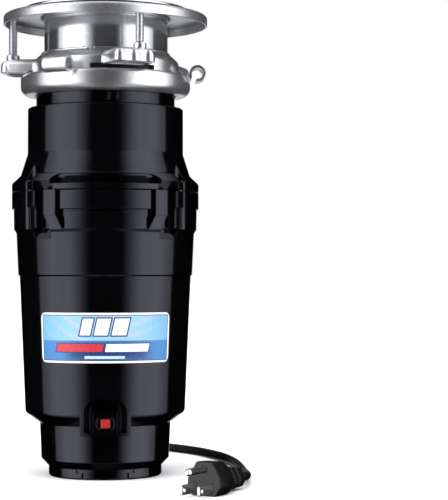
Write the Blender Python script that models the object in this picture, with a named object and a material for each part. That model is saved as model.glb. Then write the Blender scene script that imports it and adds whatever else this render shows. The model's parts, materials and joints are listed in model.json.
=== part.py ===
"""Kitchen garbage disposal: sink fittings, three-screw mount, hopper, grinding parts, motor, cord.

Units in the functions below are millimetres; place() turns them into metres.
+Z is up, the origin is the middle of the base, and the reset button is at the front, at -Y.
"""
from math import atan2, cos, pi, radians, sin, tau

import bmesh
import bpy
from mathutils import Matrix, Vector

MM = 0.001
GAP = 0.3                      # clearance kept between pieces that touch
ROUND, HIDDEN, MEDIUM, SMALL = 36, 24, 16, 10   # sides of large, enclosed, medium and small turned pieces

# Sink flange and the parts clamped on its sleeve
TOP_Z = 324.0
SLEEVE_R, SLEEVE_WALL, SLEEVE_FOOT_Z = 42.7, 1.4, 285.0
FLANGE_R, FLANGE_UNDER_Z = 57.0, 322.3
DISC_R, DISC_TOP_Z, DISC_RIM_Z, SHEET = 71.0, 319.5, 312.5, 1.5
SNAP_R, SNAP_WIRE_R, SNAP_Z = 44.1, 1.0, 292.0

# Mounting ring, its screws and the turn ring
LUG_ANGLES = (50.0, 170.0, 290.0)
SCREW_CIRCLE_R, SCREW_R, SCREW_FOOT_Z = 66.0, 3.3, 282.0
LUG_R, LUG_SIDES, LUG_TOP_Z, LUG_UNDER_Z = 73.5, (-20.0, 9.6), 291.0, 280.0
SKIRT_R, SKIRT_FOOT_Z, WINDOW_TOP_Z, WINDOW_SIDES = 51.0, 277.4, 281.0, (-32.0, 20.0)
TURN_R, TURN_TOP_Z, TURN_UNDER_Z = 59.0, 277.0, 263.0
EAR_ANGLES = (0.0, 120.0, 240.0)
EAR_CENTRE_R, EAR_CENTRE_Z, EAR_OUTER_R, EAR_INNER_R, EAR_HALF = 64.0, 279.4, 5.7, 3.9, 10.0

# Body
NECK_R, UPPER_R, BAND_R = 48.0, 54.0, 65.0
PART_LINE_Z = 195.8
MOTOR_TOP_Z, HOPPER_FOOT_Z = PART_LINE_Z - GAP / 2, PART_LINE_Z + GAP / 2
CHAMBER_R = 51.8
SEAT_R = 58.0                  # the gasket and the grind ring's flange sit inside this
HOUSING_SCREW_R, HOUSING_SCREW_ANGLES, SCREW_BOSS_R = 60.8, (-34.0, -146.0, 34.0, 146.0), 4.6
SCREW_SEAT_Z = 202.0           # the housing screws' heads bear here
PLATE_Z = 147.0                # ledge under the upper end plate
LABEL_Z, LABEL_HALF = (80.0, 113.5), 49.6
BASE_R, BASE_H = 39.2, 5.9

# Rotor
SHAFT_R, BORE_R = 6.0, 6.3
TABLE_Z, TABLE_R, IMPELLER_R = 200.0, 48.6, 30.0

# Outlet, dishwasher inlet and reset
OUTLET_Z, OUTLET_BORE_R, OUTLET_R, OUTLET_PAD_Y = 171.0, 16.5, 19.0, 68.0
INLET_X, INLET_Z, INLET_R, INLET_END_Y = -20.0, 237.0, 10.5, 76.0
BUTTON_Z, BUTTON_SIDE, BUTTON_FACE_Y = 39.2, 6.2, -52.4

# Cord and plug
CORD_R = 3.1
RELIEF_X, RELIEF_Z, RELIEF_END_Y = 24.0, 20.0, 66.0
COIL_CENTRE, COIL_R, COIL_TURNS, COIL_PITCH = (-4.0, 134.0), 36.0, 2.5, 6.6
PLUG_FACE, PLUG_HEADING, PLUG_LENGTH, TAIL_Z = (61.5, -127.0), 236.0, 43.0, 8.2

MATERIALS = {
    "stainless": ((0.62, 0.62, 0.61), 0.28, 1.0),
    "satin_steel": ((0.50, 0.50, 0.49), 0.42, 1.0),
    "cast_metal": ((0.46, 0.46, 0.45), 0.50, 0.9),
    "bright_steel": ((0.70, 0.70, 0.69), 0.22, 1.0),
    "black_gloss": ((0.008, 0.008, 0.009), 0.16, 0.0),
    "black_rubber": ((0.015, 0.015, 0.016), 0.62, 0.0),
    "stopper_rubber": ((0.030, 0.030, 0.040), 0.55, 0.0),
    "fibre": ((0.22, 0.20, 0.17), 0.85, 0.0),
    "label": ((0.25, 0.55, 0.80), 0.35, 0.0),
    "red_plastic": ((0.62, 0.03, 0.03), 0.35, 0.0),
    "black_cord": ((0.012, 0.012, 0.013), 0.45, 0.0),
    "brass": ((0.72, 0.52, 0.24), 0.30, 1.0),
    "copper": ((0.72, 0.32, 0.16), 0.35, 1.0),
    "carbon": ((0.04, 0.04, 0.045), 0.60, 0.0),
    "ferrite": ((0.06, 0.06, 0.07), 0.55, 0.0),
    "aluminium": ((0.60, 0.61, 0.62), 0.40, 1.0),
    "grey_plastic": ((0.16, 0.16, 0.17), 0.45, 0.0),
}


def clear_scene():
    for old in list(bpy.data.objects):
        bpy.data.objects.remove(old, do_unlink=True)


def material(slot):
    found = bpy.data.materials.get(slot)
    if found:
        return found
    colour, roughness, metallic = MATERIALS[slot]
    made = bpy.data.materials.new(slot)
    made.use_nodes = True
    shader = made.node_tree.nodes["Principled BSDF"]
    shader.inputs["Base Color"].default_value = (*colour, 1.0)
    shader.inputs["Roughness"].default_value = roughness
    shader.inputs["Metallic"].default_value = metallic
    return made


def place(name, bm, slot=None, origin=(0.0, 0.0, 0.0)):
    """Turns a bmesh in millimetres into an object in metres with its origin at the given point."""
    bmesh.ops.recalc_face_normals(bm, faces=bm.faces)
    bmesh.ops.transform(bm, matrix=Matrix.Translation([-value for value in origin]), verts=bm.verts)
    bmesh.ops.scale(bm, vec=(MM, MM, MM), verts=bm.verts)
    mesh = bpy.data.meshes.new(name)
    bm.to_mesh(mesh)
    bm.free()
    obj = bpy.data.objects.new(name, mesh)
    obj.location = [value * MM for value in origin]
    bpy.context.collection.objects.link(obj)
    if slot:
        mesh.materials.append(material(slot))
        mesh.shade_smooth()
        mesh.set_sharp_from_angle(angle=radians(35))
    else:
        obj.hide_render = True
        obj.display_type = "WIRE"
    return obj


def boolean(obj, operation, name, bm):
    """Joins a shape to an object, or cuts it away, by a Boolean modifier on a guide object."""
    guide = place(name, bm)
    modifier = obj.modifiers.new(name, "BOOLEAN")
    modifier.operation = operation
    modifier.object = guide


def rounded(corners, steps=2):
    """A closed outline in which each corner given as (x, y, radius) becomes an arc."""
    points = []
    for index, corner in enumerate(corners):
        here = Vector(corner[:2])
        if len(corner) == 2:
            points.append(here)
            continue
        before = (Vector(corners[index - 1][:2]) - here).normalized()
        after = (Vector(corners[(index + 1) % len(corners)][:2]) - here).normalized()
        half = before.angle(after) / 2
        centre = here + (before + after).normalized() * (corner[2] / sin(half))
        reach = corner[2] * cos(half) / sin(half)
        first, last = here + before * reach - centre, here + after * reach - centre
        turn = atan2(first.x * last.y - first.y * last.x, first.dot(last))
        for step in range(steps + 1):
            points.append(centre + Matrix.Rotation(turn * step / steps, 2) @ first)
    return points


def arc(centre, radius, start, end, steps):
    """Points on an arc, with angles in degrees."""
    angles = [radians(start + (end - start) * step / steps) for step in range(steps + 1)]
    return [Vector((centre[0] + radius * cos(a), centre[1] + radius * sin(a))) for a in angles]


def turned_mesh(outline, sides=ROUND, wave=None):
    """A closed outline of (radius, height) turned about Z; wave(side, radius) may change a radius."""
    bm = bmesh.new()
    rows = []
    for radius, height in outline:
        if radius < 1e-6:
            rows.append([bm.verts.new((0, 0, height))] * sides)
            continue
        row = []
        for side in range(sides):
            reach = wave(side, radius) if wave else radius
            angle = tau * side / sides
            row.append(bm.verts.new((reach * cos(angle), reach * sin(angle), height)))
        rows.append(row)
    for lower, upper in zip(rows, rows[1:] + rows[:1]):
        for side in range(sides):
            after = (side + 1) % sides
            corners = [lower[side], lower[after], upper[after], upper[side]]
            face = list(dict.fromkeys(corners))
            if len(face) > 2:
                bm.faces.new(face)
    return bm


def turned(name, outline, slot, sides=ROUND, wave=None):
    return place(name, turned_mesh(outline, sides, wave), slot)


def prism_mesh(outline, low, high, frame=Matrix.Identity(4), bm=None):
    """An outline in its own XY plane, extruded from low to high, then moved by a frame."""
    bm = bm or bmesh.new()
    lower = [bm.verts.new(frame @ Vector((point[0], point[1], low))) for point in outline]
    upper = [bm.verts.new(frame @ Vector((point[0], point[1], high))) for point in outline]
    bm.faces.new(lower)
    bm.faces.new(list(reversed(upper)))
    for index in range(len(outline)):
        after = (index + 1) % len(outline)
        bm.faces.new([lower[index], upper[index], upper[after], lower[after]])
    return bm


def box_mesh(low, high, bm=None):
    outline = [(low[0], low[1]), (high[0], low[1]), (high[0], high[1]), (low[0], high[1])]
    return prism_mesh(outline, low[2], high[2], bm=bm)


def circle(radius, sides=SMALL, centre=(0.0, 0.0)):
    return [(centre[0] + radius * cos(tau * side / sides), centre[1] + radius * sin(tau * side / sides))
            for side in range(sides)]


def spin(angle, x=0.0, y=0.0, z=0.0):
    """A turn about Z in degrees, after a shift."""
    return Matrix.Rotation(radians(angle), 4, "Z") @ Matrix.Translation((x, y, z))


def along_y(x=0.0, z=0.0):
    """A frame whose own Z runs along +Y and whose own Y is up."""
    return Matrix.Translation((x, 0, z)) @ Matrix(((-1, 0, 0, 0), (0, 0, 1, 0), (0, 1, 0, 0), (0, 0, 0, 1)))


def loft_mesh(rings):
    """Joins rings of equally many points by quads and closes both ends."""
    bm = bmesh.new()
    rows = [[bm.verts.new(point) for point in ring] for ring in rings]
    for before, after in zip(rows, rows[1:]):
        for index in range(len(before)):
            other = (index + 1) % len(before)
            bm.faces.new([before[index], before[other], after[other], after[index]])
    bm.faces.new(rows[0])
    bm.faces.new(list(reversed(rows[-1])))
    return bm


def sector_mesh(outline, start, end, steps):
    """A closed outline of (radius, height) turned through part of a circle, with flat ends."""
    angles = [radians(start + (end - start) * step / steps) for step in range(steps + 1)]
    return loft_mesh([[Vector((r * cos(a), r * sin(a), z)) for r, z in outline] for a in angles])


def ring(inner, outer, low, high):
    return [(outer, low), (outer, high), (inner, high), (inner, low)]


def wire(name, points, radius, slot, resolution=2):
    """A poly-line curve with a round section and filled ends; points in millimetres."""
    curve = bpy.data.curves.new(name, "CURVE")
    curve.dimensions = "3D"
    curve.bevel_depth = radius * MM
    curve.bevel_resolution = resolution
    curve.render_resolution_u = 0
    curve.use_fill_caps = True
    spline = curve.splines.new("POLY")
    spline.points.add(len(points) - 1)
    for point, place_mm in zip(spline.points, points):
        point.co = (place_mm[0] * MM, place_mm[1] * MM, place_mm[2] * MM, 1.0)
    curve.materials.append(material(slot))
    obj = bpy.data.objects.new(name, curve)
    bpy.context.collection.objects.link(obj)
    return obj


# ---------------------------------------------------------------- sink fittings

def sink_flange():
    throat = SLEEVE_R - SLEEVE_WALL
    outline = rounded([
        (throat, SLEEVE_FOOT_Z), (SLEEVE_R, SLEEVE_FOOT_Z), (SLEEVE_R, FLANGE_UNDER_Z),
        (FLANGE_R, FLANGE_UNDER_Z), (FLANGE_R, TOP_Z, 0.8), (48.0, 323.4), (throat, 323.3, 1.2)])
    turned("sink_flange", outline, "stainless")


def fibre_gasket():
    turned("fibre_gasket", ring(SLEEVE_R + 0.4, 55.0, 319.8, 322.0), "fibre")


def support_flange():
    """A pressed disc with a rim turned down, and a drawn collar round the sleeve."""
    collar = SLEEVE_R + 0.4
    under = DISC_TOP_Z - SHEET
    outline = rounded([
        (DISC_R, DISC_RIM_Z), (DISC_R, DISC_TOP_Z, 2.2), (collar, DISC_TOP_Z, 1.2), (collar, 314.8),
        (collar + SHEET, 314.8), (collar + SHEET, under), (DISC_R - SHEET, under),
        (DISC_R - SHEET, DISC_RIM_Z)])
    turned("support_flange", outline, "satin_steel")


def snap_ring():
    """A split wire ring at the foot of the sleeve."""
    points = [(p.x, p.y, SNAP_Z) for p in arc((0, 0), SNAP_R, -100.0, 254.0, 32)]
    wire("snap_ring", points, SNAP_WIRE_R, "bright_steel", 1)


def splash_guard():
    """A rubber rim with four leaves that slope to a small middle hole."""
    rim_r = SLEEVE_R - SLEEVE_WALL - GAP
    outline = [
        (rim_r, 300.2), (rim_r, 303.6), (rim_r - 1.2, 304.2), (38.0, 302.4), (36.0, 304.0), (33.0, 304.0),
        (30.5, 300.6), (3.0, 291.6), (3.0, 289.8), (30.5, 298.8), (38.0, 299.4)]
    guard = turned("splash_guard", outline, "black_rubber", HIDDEN)
    slits = bmesh.new()
    for quarter in range(4):
        wedge = [(8.0, -0.4), (27.0, -1.6), (28.2, 0.0), (27.0, 1.6), (8.0, 0.4)]
        prism_mesh(wedge, 286.0, 306.0, spin(90 * quarter), slits)
    boolean(guard, "DIFFERENCE", "splash_guard_slits", slits)


def sink_stopper():
    """A plug disc with a rim that rests in the flange, and a mushroom knob."""
    outline = rounded([
        (0.0, 313.0), (38.0, 313.0), (40.6, 315.0), (40.6, 322.4), (41.8, 323.8), (46.2, 324.0),
        (46.2, 326.2, 0.9), (41.5, 326.0), (40.5, 325.2), (39.5, 326.4), (20.0, 328.2, 6.0),
        (14.0, 340.0, 4.0), (17.5, 345.4), (17.5, 349.2, 1.4), (0.0, 349.8)], steps=1)
    turned("sink_stopper", outline, "stopper_rubber", HIDDEN)


# ---------------------------------------------------------------- three-screw mount

def mounting_ring():
    """The domed upper ring with three hollow lugs, each with a boss for its screw."""
    inner = SLEEVE_R + 0.5
    outline = rounded([
        (inner, 287.6), (inner, 290.4), (46.5, 290.4), (SKIRT_R, 287.2, 1.5), (SKIRT_R, SKIRT_FOOT_Z),
        (SKIRT_R - 2.8, SKIRT_FOOT_Z), (SKIRT_R - 2.8, 284.8)])
    body = turned("mounting_ring", outline, "cast_metal")
    lugs, bosses, pockets, holes = (bmesh.new() for _ in range(4))
    corner = 7.0
    left, right = LUG_SIDES
    lug_outline = rounded([
        (46.2, left), (LUG_R, left, corner), (LUG_R, right, corner), (49.2, right), (49.2, left + 11.0)])
    wall = 3.0
    pocket_outline = rounded([
        (54.0, left + wall), (LUG_R - wall, left + wall, corner - wall),
        (LUG_R - wall, right - wall, corner - wall), (54.0, right - wall)])
    for angle in LUG_ANGLES:
        prism_mesh(lug_outline, LUG_UNDER_Z, LUG_TOP_Z, spin(angle), lugs)
        screw_place = spin(angle, SCREW_CIRCLE_R)
        prism_mesh(circle(4.5, MEDIUM), LUG_TOP_Z - 1.0, LUG_TOP_Z + 2.0, screw_place, bosses)
        prism_mesh(pocket_outline, LUG_UNDER_Z - 1.0, LUG_TOP_Z - wall, spin(angle), pockets)
        prism_mesh(circle(SCREW_R + GAP, MEDIUM), 275.0, 296.0, screw_place, holes)
    boolean(body, "UNION", "mounting_lugs", lugs)
    boolean(body, "UNION", "mounting_bosses", bosses)
    boolean(body, "DIFFERENCE", "lug_pockets", pockets)
    boolean(body, "DIFFERENCE", "lug_screw_holes", holes)
    section = [
        (46.0, SKIRT_FOOT_Z - 3), (53.0, SKIRT_FOOT_Z - 3), (53.0, WINDOW_TOP_Z), (46.0, WINDOW_TOP_Z)]
    for number, angle in enumerate(LUG_ANGLES, 1):
        window = sector_mesh(section, angle + WINDOW_SIDES[0], angle + WINDOW_SIDES[1], 10)
        boolean(body, "DIFFERENCE", f"skirt_window_{number}", window)


def mount_screws():
    for number, angle in enumerate(LUG_ANGLES, 1):
        x, y = SCREW_CIRCLE_R * cos(radians(angle)), SCREW_CIRCLE_R * sin(radians(angle))
        shank = prism_mesh(
            circle(SCREW_R, MEDIUM), SCREW_FOOT_Z, DISC_TOP_Z - SHEET - GAP, spin(angle, SCREW_CIRCLE_R))
        place(f"mount_screw_{number}", shank, "bright_steel", (x, y, SCREW_FOOT_Z))


def cushion_mount():
    """The rubber cushion that wraps the hopper's top lip and seals it to the sleeve."""
    outline = [
        (48.9, 266.3), (51.5, 266.3), (55.6, 270.4), (55.6, 274.6), (53.0, 276.8), (47.7, 276.8),
        (47.7, 284.3), (44.0, 284.3), (44.0, 273.0), (52.1, 273.0), (52.1, 268.9), (48.9, 268.9)]
    turned("cushion_mount", outline, "black_rubber", HIDDEN)


def turn_ring():
    """The lower ring, turned to lock, with three ears rolled from its sheet."""
    outline = rounded([
        (49.0, TURN_UNDER_Z), (TURN_R, TURN_UNDER_Z, 6.0), (TURN_R, TURN_TOP_Z, 0.6), (56.2, TURN_TOP_Z),
        (56.2, 265.6, 3.6), (49.0, 265.6)])
    body = turned("turn_ring", outline, "cast_metal")
    centre = (EAR_CENTRE_R, EAR_CENTRE_Z)
    curl = arc(centre, EAR_OUTER_R, 192, -100, 16) + arc(centre, EAR_INNER_R, -100, 192, 12)
    leg = [(60.1, 276.2), (58.6, 272.0), (57.2, 270.0), (57.2, 278.2)]
    ears = bmesh.new()
    for angle in EAR_ANGLES:
        upright = Matrix.Rotation(radians(angle), 4, "Z") @ Matrix.Rotation(pi / 2, 4, "X")
        prism_mesh(curl + leg, -EAR_HALF, EAR_HALF, upright, ears)
    boolean(body, "UNION", "rolled_ears", ears)


# ---------------------------------------------------------------- hopper and grinding parts

def screw_places():
    return [(angle, spin(angle, HOUSING_SCREW_R)) for angle in HOUSING_SCREW_ANGLES]


def hopper_housing():
    """The grinding chamber's upper housing, down to the parting line."""
    outside = rounded([
        (0.0, HOPPER_FOOT_Z), (BAND_R, HOPPER_FOOT_Z), (BAND_R, 201.5, 2.0), (58.5, 208.0, 8.0),
        (UPPER_R, 220.6, 12.0), (UPPER_R, 254.3, 2.2), (NECK_R, 254.9), (NECK_R, 269.3), (51.3, 269.3),
        (51.3, 272.7), (0.0, 272.7)])
    body = turned("hopper_housing", outside, "black_gloss")
    bosses, recesses, holes = (bmesh.new() for _ in range(3))
    for _, frame in screw_places():
        prism_mesh(circle(SCREW_BOSS_R), HOPPER_FOOT_Z, SCREW_SEAT_Z, frame, bosses)
        prism_mesh(circle(4.4), SCREW_SEAT_Z, 226.0, frame, recesses)
        prism_mesh(circle(2.4, 8), 190.0, 210.0, frame, holes)
    boolean(body, "UNION", "hopper_screw_bosses", bosses)
    boolean(body, "UNION", "inlet_nozzle",
            prism_mesh(circle(INLET_R, MEDIUM), 49.5, INLET_END_Y, along_y(INLET_X, INLET_Z)))
    cavity = [
        (0.0, 190.0), (SEAT_R, 190.0), (SEAT_R, 199.3), (CHAMBER_R, 199.3), (CHAMBER_R, 250.0),
        (44.8, 257.0), (44.8, 280.0), (0.0, 280.0)]
    boolean(body, "DIFFERENCE", "hopper_cavity", turned_mesh(cavity))
    boolean(body, "DIFFERENCE", "hopper_screw_recesses", recesses)
    boolean(body, "DIFFERENCE", "hopper_screw_holes", holes)
    boolean(body, "DIFFERENCE", "inlet_bore",
            prism_mesh(circle(INLET_R - 2.2, MEDIUM), 53.5, INLET_END_Y + 1, along_y(INLET_X, INLET_Z)))


def grind_ring():
    """The stationary shredder ring: a flange between the housings and a toothed wall."""
    def teeth(side, radius):
        return radius + 0.9 if radius < 50.0 and side % 4 == 0 else radius
    outline = [(49.3, 197.1), (57.6, 197.1), (57.6, 199.0), (51.4, 199.0), (51.4, 222.0), (49.3, 222.0)]
    turned("grind_ring", outline, "stainless", ROUND, teeth)


def hopper_gasket():
    turned("hopper_gasket", ring(52.6, 57.6, 194.8, 196.8), "black_rubber", HIDDEN)


def housing_screws():
    head_z = SCREW_SEAT_Z + GAP
    for number, (angle, frame) in enumerate(screw_places(), 1):
        outline = [
            (0.0, 180.0), (1.9, 180.0), (1.9, head_z), (3.9, head_z), (3.9, head_z + 1.9),
            (2.6, head_z + 3.1), (0.0, head_z + 3.1)]
        screw = turned_mesh(outline, 8)
        bmesh.ops.transform(screw, matrix=frame, verts=screw.verts)
        place(f"housing_screw_{number}", screw, "bright_steel")


def turntable():
    outline = [
        (BORE_R, 194.0), (10.0, 194.0), (10.0, TABLE_Z), (TABLE_R, TABLE_Z), (TABLE_R, 202.5),
        (10.0, 202.5), (10.0, 204.2), (BORE_R, 204.2)]
    table = turned("turntable", outline, "stainless", HIDDEN)
    holes = bmesh.new()
    for turn in (0, 180):
        prism_mesh(circle(2.5, SMALL), 190.0, 206.0, spin(turn, IMPELLER_R), holes)
    boolean(table, "DIFFERENCE", "rivet_holes", holes)


def impellers():
    """Two lugs that swing freely on their rivets."""
    for letter, turn in (("a", 0), ("b", 180)):
        frame = spin(turn, IMPELLER_R)
        origin = frame.translation
        plate = rounded([
            (-7.0, -7.0, 6.5), (12.0, -6.0), (16.0, -4.0), (16.0, 4.0), (12.0, 6.0), (-7.0, 7.0, 6.5)])
        lug = place(f"impeller_{letter}", prism_mesh(plate, 202.9, 205.4, frame), "stainless", origin)
        block = rounded([(9.0, -5.5), (14.5, -3.6, 1.0), (14.5, 3.6, 1.0), (9.0, 5.5)])
        boolean(lug, "UNION", f"impeller_lug_{letter}", prism_mesh(block, 204.0, 213.0, frame))
        eye = prism_mesh(circle(2.5, SMALL), 200.0, 208.0, frame)
        boolean(lug, "DIFFERENCE", f"impeller_eye_{letter}", eye)
        outline = [
            (0.0, 198.0), (4.5, 198.0), (4.5, 199.7), (2.1, 199.7), (2.1, 205.8), (4.5, 205.8),
            (3.4, 207.6), (0.0, 207.6)]
        rivet = turned_mesh(outline, SMALL)
        bmesh.ops.transform(rivet, matrix=frame, verts=rivet.verts)
        place(f"impeller_rivet_{letter}", rivet, "bright_steel")


def turntable_nut():
    nut = turned("turntable_nut", ring(BORE_R, 9.4, 204.6, 209.4), "bright_steel", 6)
    boolean(nut, "DIFFERENCE", "nut_bore", prism_mesh(circle(BORE_R + 0.02, MEDIUM), 200.0, 214.0))


# ---------------------------------------------------------------- motor

def motor_shaft():
    outline = [(0.0, 24.2), (5.0, 24.2), (SHAFT_R, 25.4), (SHAFT_R, 210.4), (5.0, 211.2), (0.0, 211.2)]
    turned("motor_shaft", outline, "bright_steel", MEDIUM)


def armature():
    """The slotted core, its two winding heads and the commutator."""
    def slots(side, radius):
        return radius - 4.0 if radius > 20.0 and side % 2 == 0 else radius

    def bars(side, radius):
        return radius - 0.7 if radius > 9.0 and side % 2 else radius
    turned("armature_core", ring(BORE_R, 28.0, 78.0, 124.0), "satin_steel", HIDDEN, slots)
    upper = [(9.0, 124.3), (23.0, 124.3), (23.0, 131.0), (20.0, 134.0), (11.0, 134.0), (9.0, 132.0)]
    lower = [(9.0, 77.7), (23.0, 77.7), (23.0, 71.6), (20.0, 68.6), (11.0, 68.6), (9.0, 70.6)]
    turned("winding_upper", upper, "copper", MEDIUM)
    turned("winding_lower", lower, "copper", MEDIUM)
    turned("commutator", ring(BORE_R, 11.3, 57.0, 68.2), "copper", MEDIUM, bars)


def slinger():
    outline = [(BORE_R, 160.0), (9.0, 160.0), (17.0, 158.2), (17.0, 159.8), (9.0, 164.0), (BORE_R, 164.0)]
    turned("slinger", outline, "black_rubber", MEDIUM)


def upper_end_plate():
    """The chamber floor, with a boss for the upper bearing and the shaft seal."""
    outline = [
        (13.0, 139.5), (17.0, 139.5), (17.0, 147.3), (57.4, 147.3), (57.4, 151.3), (16.0, 154.0),
        (14.5, 156.2), (11.4, 156.2), (11.4, 151.4), (7.2, 151.4), (7.2, 150.4), (13.0, 150.4)]
    turned("upper_end_plate", outline, "aluminium", HIDDEN)


def bearings_and_seal():
    turned("shaft_seal", ring(BORE_R, 11.1, 151.7, 156.6), "black_rubber", MEDIUM)
    turned("upper_bearing", ring(BORE_R, 12.7, 141.2, 150.1), "bright_steel", MEDIUM)
    turned("lower_bearing", ring(BORE_R, 12.7, 26.0, 34.0), "bright_steel", MEDIUM)


def motor_can():
    turned("motor_can", ring(44.5, 47.0, 62.0, 146.8), "satin_steel", HIDDEN)


def magnets():
    for letter, middle in (("a", 90), ("b", 270)):
        arc_mesh = sector_mesh(ring(33.0, 44.1, 70.0, 136.0), middle - 68, middle + 68, 16)
        place(f"magnet_{letter}", arc_mesh, "ferrite")


def brush_gear():
    """A plate with two square brush tubes, and the carbon brushes in them."""
    plate = turned("brush_plate", ring(13.0, 35.0, 54.6, 57.0), "grey_plastic", MEDIUM)
    tubes, bores = bmesh.new(), bmesh.new()
    for side in (-1, 1):
        ends = sorted((side * 13.4, side * 31.0))
        box_mesh((ends[0], -5.6, 56.0), (ends[1], 5.6, 67.4), tubes)
        ends = sorted((side * 10.0, side * 29.0))
        box_mesh((ends[0], -4.2, 58.2), (ends[1], 4.2, 65.8), bores)
    boolean(plate, "UNION", "brush_tubes", tubes)
    boolean(plate, "DIFFERENCE", "brush_tube_bores", bores)
    for letter, side in (("a", 1), ("b", -1)):
        ends = sorted((side * 11.7, side * 27.0))
        place(f"brush_{letter}", box_mesh((ends[0], -3.9, 58.5), (ends[1], 3.9, 65.5)), "carbon")


def lower_end_bell():
    outline = [
        (0.0, 20.0), (33.0, 20.0), (33.0, 50.0), (47.0, 61.0), (47.0, 61.7), (44.6, 61.7), (30.5, 50.9),
        (30.5, 22.6), (15.5, 22.6), (15.5, 34.0), (13.0, 34.0), (13.0, 23.4), (0.0, 23.4)]
    turned("lower_end_bell", outline, "aluminium", HIDDEN)


# ---------------------------------------------------------------- lower body

def motor_housing():
    """The lower housing: drain chamber above the end plate, motor space and reset pocket below."""
    outside = [
        (0.0, MOTOR_TOP_Z), (BAND_R, MOTOR_TOP_Z), (BAND_R, 184.4), (63.5, 183.4), (63.5, 170.0),
        (61.8, 168.6), (60.5, 138.8), (59.5, 137.8), (55.5, 45.0), (45.2, 36.5), (44.3, 12.0), (39.6, 6.2),
        (0.0, 6.2)]
    body = turned("motor_housing", outside, "black_gloss")
    columns, column_holes = bmesh.new(), bmesh.new()
    for _, frame in screw_places():
        prism_mesh(circle(SCREW_BOSS_R), 169.5, MOTOR_TOP_Z, frame, columns)
        prism_mesh(circle(2.4, 8), 178.0, 200.0, frame, column_holes)
    boolean(body, "UNION", "screw_columns", columns)
    pad = along_y(0.0, OUTLET_Z)
    boolean(body, "UNION", "outlet_pad", prism_mesh(circle(23.0, MEDIUM), 40.0, OUTLET_PAD_Y, pad))
    flange_bosses = bmesh.new()
    for side in (-1, 1):
        prism_mesh(circle(6.5, SMALL), 48.0, OUTLET_PAD_Y, along_y(27.0 * side, OUTLET_Z), flange_bosses)
    boolean(body, "UNION", "outlet_screw_bosses", flange_bosses)
    relief = along_y(RELIEF_X, RELIEF_Z)
    boolean(body, "UNION", "cord_pad", prism_mesh(circle(9.0, MEDIUM), 20.0, 44.0, relief))
    cavity = [
        (0.0, PART_LINE_Z + 3), (SEAT_R, PART_LINE_Z + 3), (SEAT_R, 194.5), (52.0, 194.5), (52.0, 191.0),
        (60.0, 184.0), (60.0, 170.0), (58.2, 158.0), (58.0, PLATE_Z), (55.6, PLATE_Z), (55.6, 130.0),
        (52.6, 47.0), (42.4, 38.4), (41.6, 13.0), (36.6, 9.6), (36.6, 4.0), (0.0, 4.0)]
    boolean(body, "DIFFERENCE", "housing_cavity", turned_mesh(cavity))
    boolean(body, "DIFFERENCE", "column_holes", column_holes)
    boolean(body, "DIFFERENCE", "outlet_bore", prism_mesh(circle(OUTLET_BORE_R, MEDIUM), 50.0, 75.0, pad))
    screw_holes = bmesh.new()
    for side in (-1, 1):
        prism_mesh(circle(3.1, 8), 60.0, 72.0, along_y(27.0 * side, OUTLET_Z), screw_holes)
    boolean(body, "DIFFERENCE", "outlet_screw_holes", screw_holes)
    boolean(body, "DIFFERENCE", "cord_hole", prism_mesh(circle(6.3, MEDIUM), 25.0, 50.0, relief))
    boolean(body, "UNION", "pocket_wall", box_mesh((-17.0, -53.0, 31.0), (17.0, -43.5, 58.0)))
    arch = rounded([(-14.5, 33.0, 2.0), (14.5, 33.0, 2.0), (14.5, 55.5, 9.0), (-14.5, 55.5, 9.0)])
    boolean(body, "DIFFERENCE", "reset_pocket", prism_mesh(arch, -70.0, -46.0, along_y()))
    boolean(body, "UNION", "button_block", box_mesh((-8.1, -51.4, 32.0), (8.1, -45.0, 47.0)))
    hole = BUTTON_SIDE / 2 + GAP
    boolean(body, "DIFFERENCE", "button_hole",
            box_mesh((-hole, -60.0, BUTTON_Z - hole), (hole, -40.0, BUTTON_Z + hole)))


def reset_parts():
    """The overload switch and its button, which pops out towards -Y."""
    place("reset_switch", box_mesh((-6.5, -40.6, 29.0), (6.5, -33.6, 49.0)), "grey_plastic")
    half = BUTTON_SIDE / 2
    button = box_mesh((-half, BUTTON_FACE_Y, BUTTON_Z - half), (half, -41.0, BUTTON_Z + half))
    place("reset_button", button, "red_plastic", (0.0, BUTTON_FACE_Y, BUTTON_Z))


def base_cover():
    """The foot ring and bottom plate, with a middle boss that stands on the floor."""
    outline = [
        (0.0, 0.0), (11.0, 0.0), (12.0, 2.6), (34.8, 2.6), (35.4, 0.0), (BASE_R - 0.6, 0.0), (BASE_R, 0.8),
        (BASE_R, BASE_H), (36.2, BASE_H), (36.2, 9.0), (33.8, 9.0), (33.8, BASE_H), (0.0, BASE_H)]
    body = turned("base_cover", outline, "black_gloss")
    slits = bmesh.new()
    for turn in (-23, 23, 157, 203):
        box_mesh((-0.8, -45.0, -1.0), (0.8, -37.6, 4.6), slits)
        bmesh.ops.rotate(
            slits, cent=(0, 0, 0), matrix=Matrix.Rotation(radians(turn), 3, "Z"), verts=slits.verts[-8:])
    boolean(body, "DIFFERENCE", "base_slits", slits)


def label_plate():
    def wall(z):
        return 59.5 - 4.0 * (137.8 - z) / 92.8
    low, high = LABEL_Z
    outline = [(wall(z) + lift, z) for z, lift in ((low, 0.75), (high, 0.75), (high, 0.35), (low, 0.35))]
    place("label_plate", sector_mesh(outline, -90 - LABEL_HALF, -90 + LABEL_HALF, 16), "label")


# ---------------------------------------------------------------- discharge outlet

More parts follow.
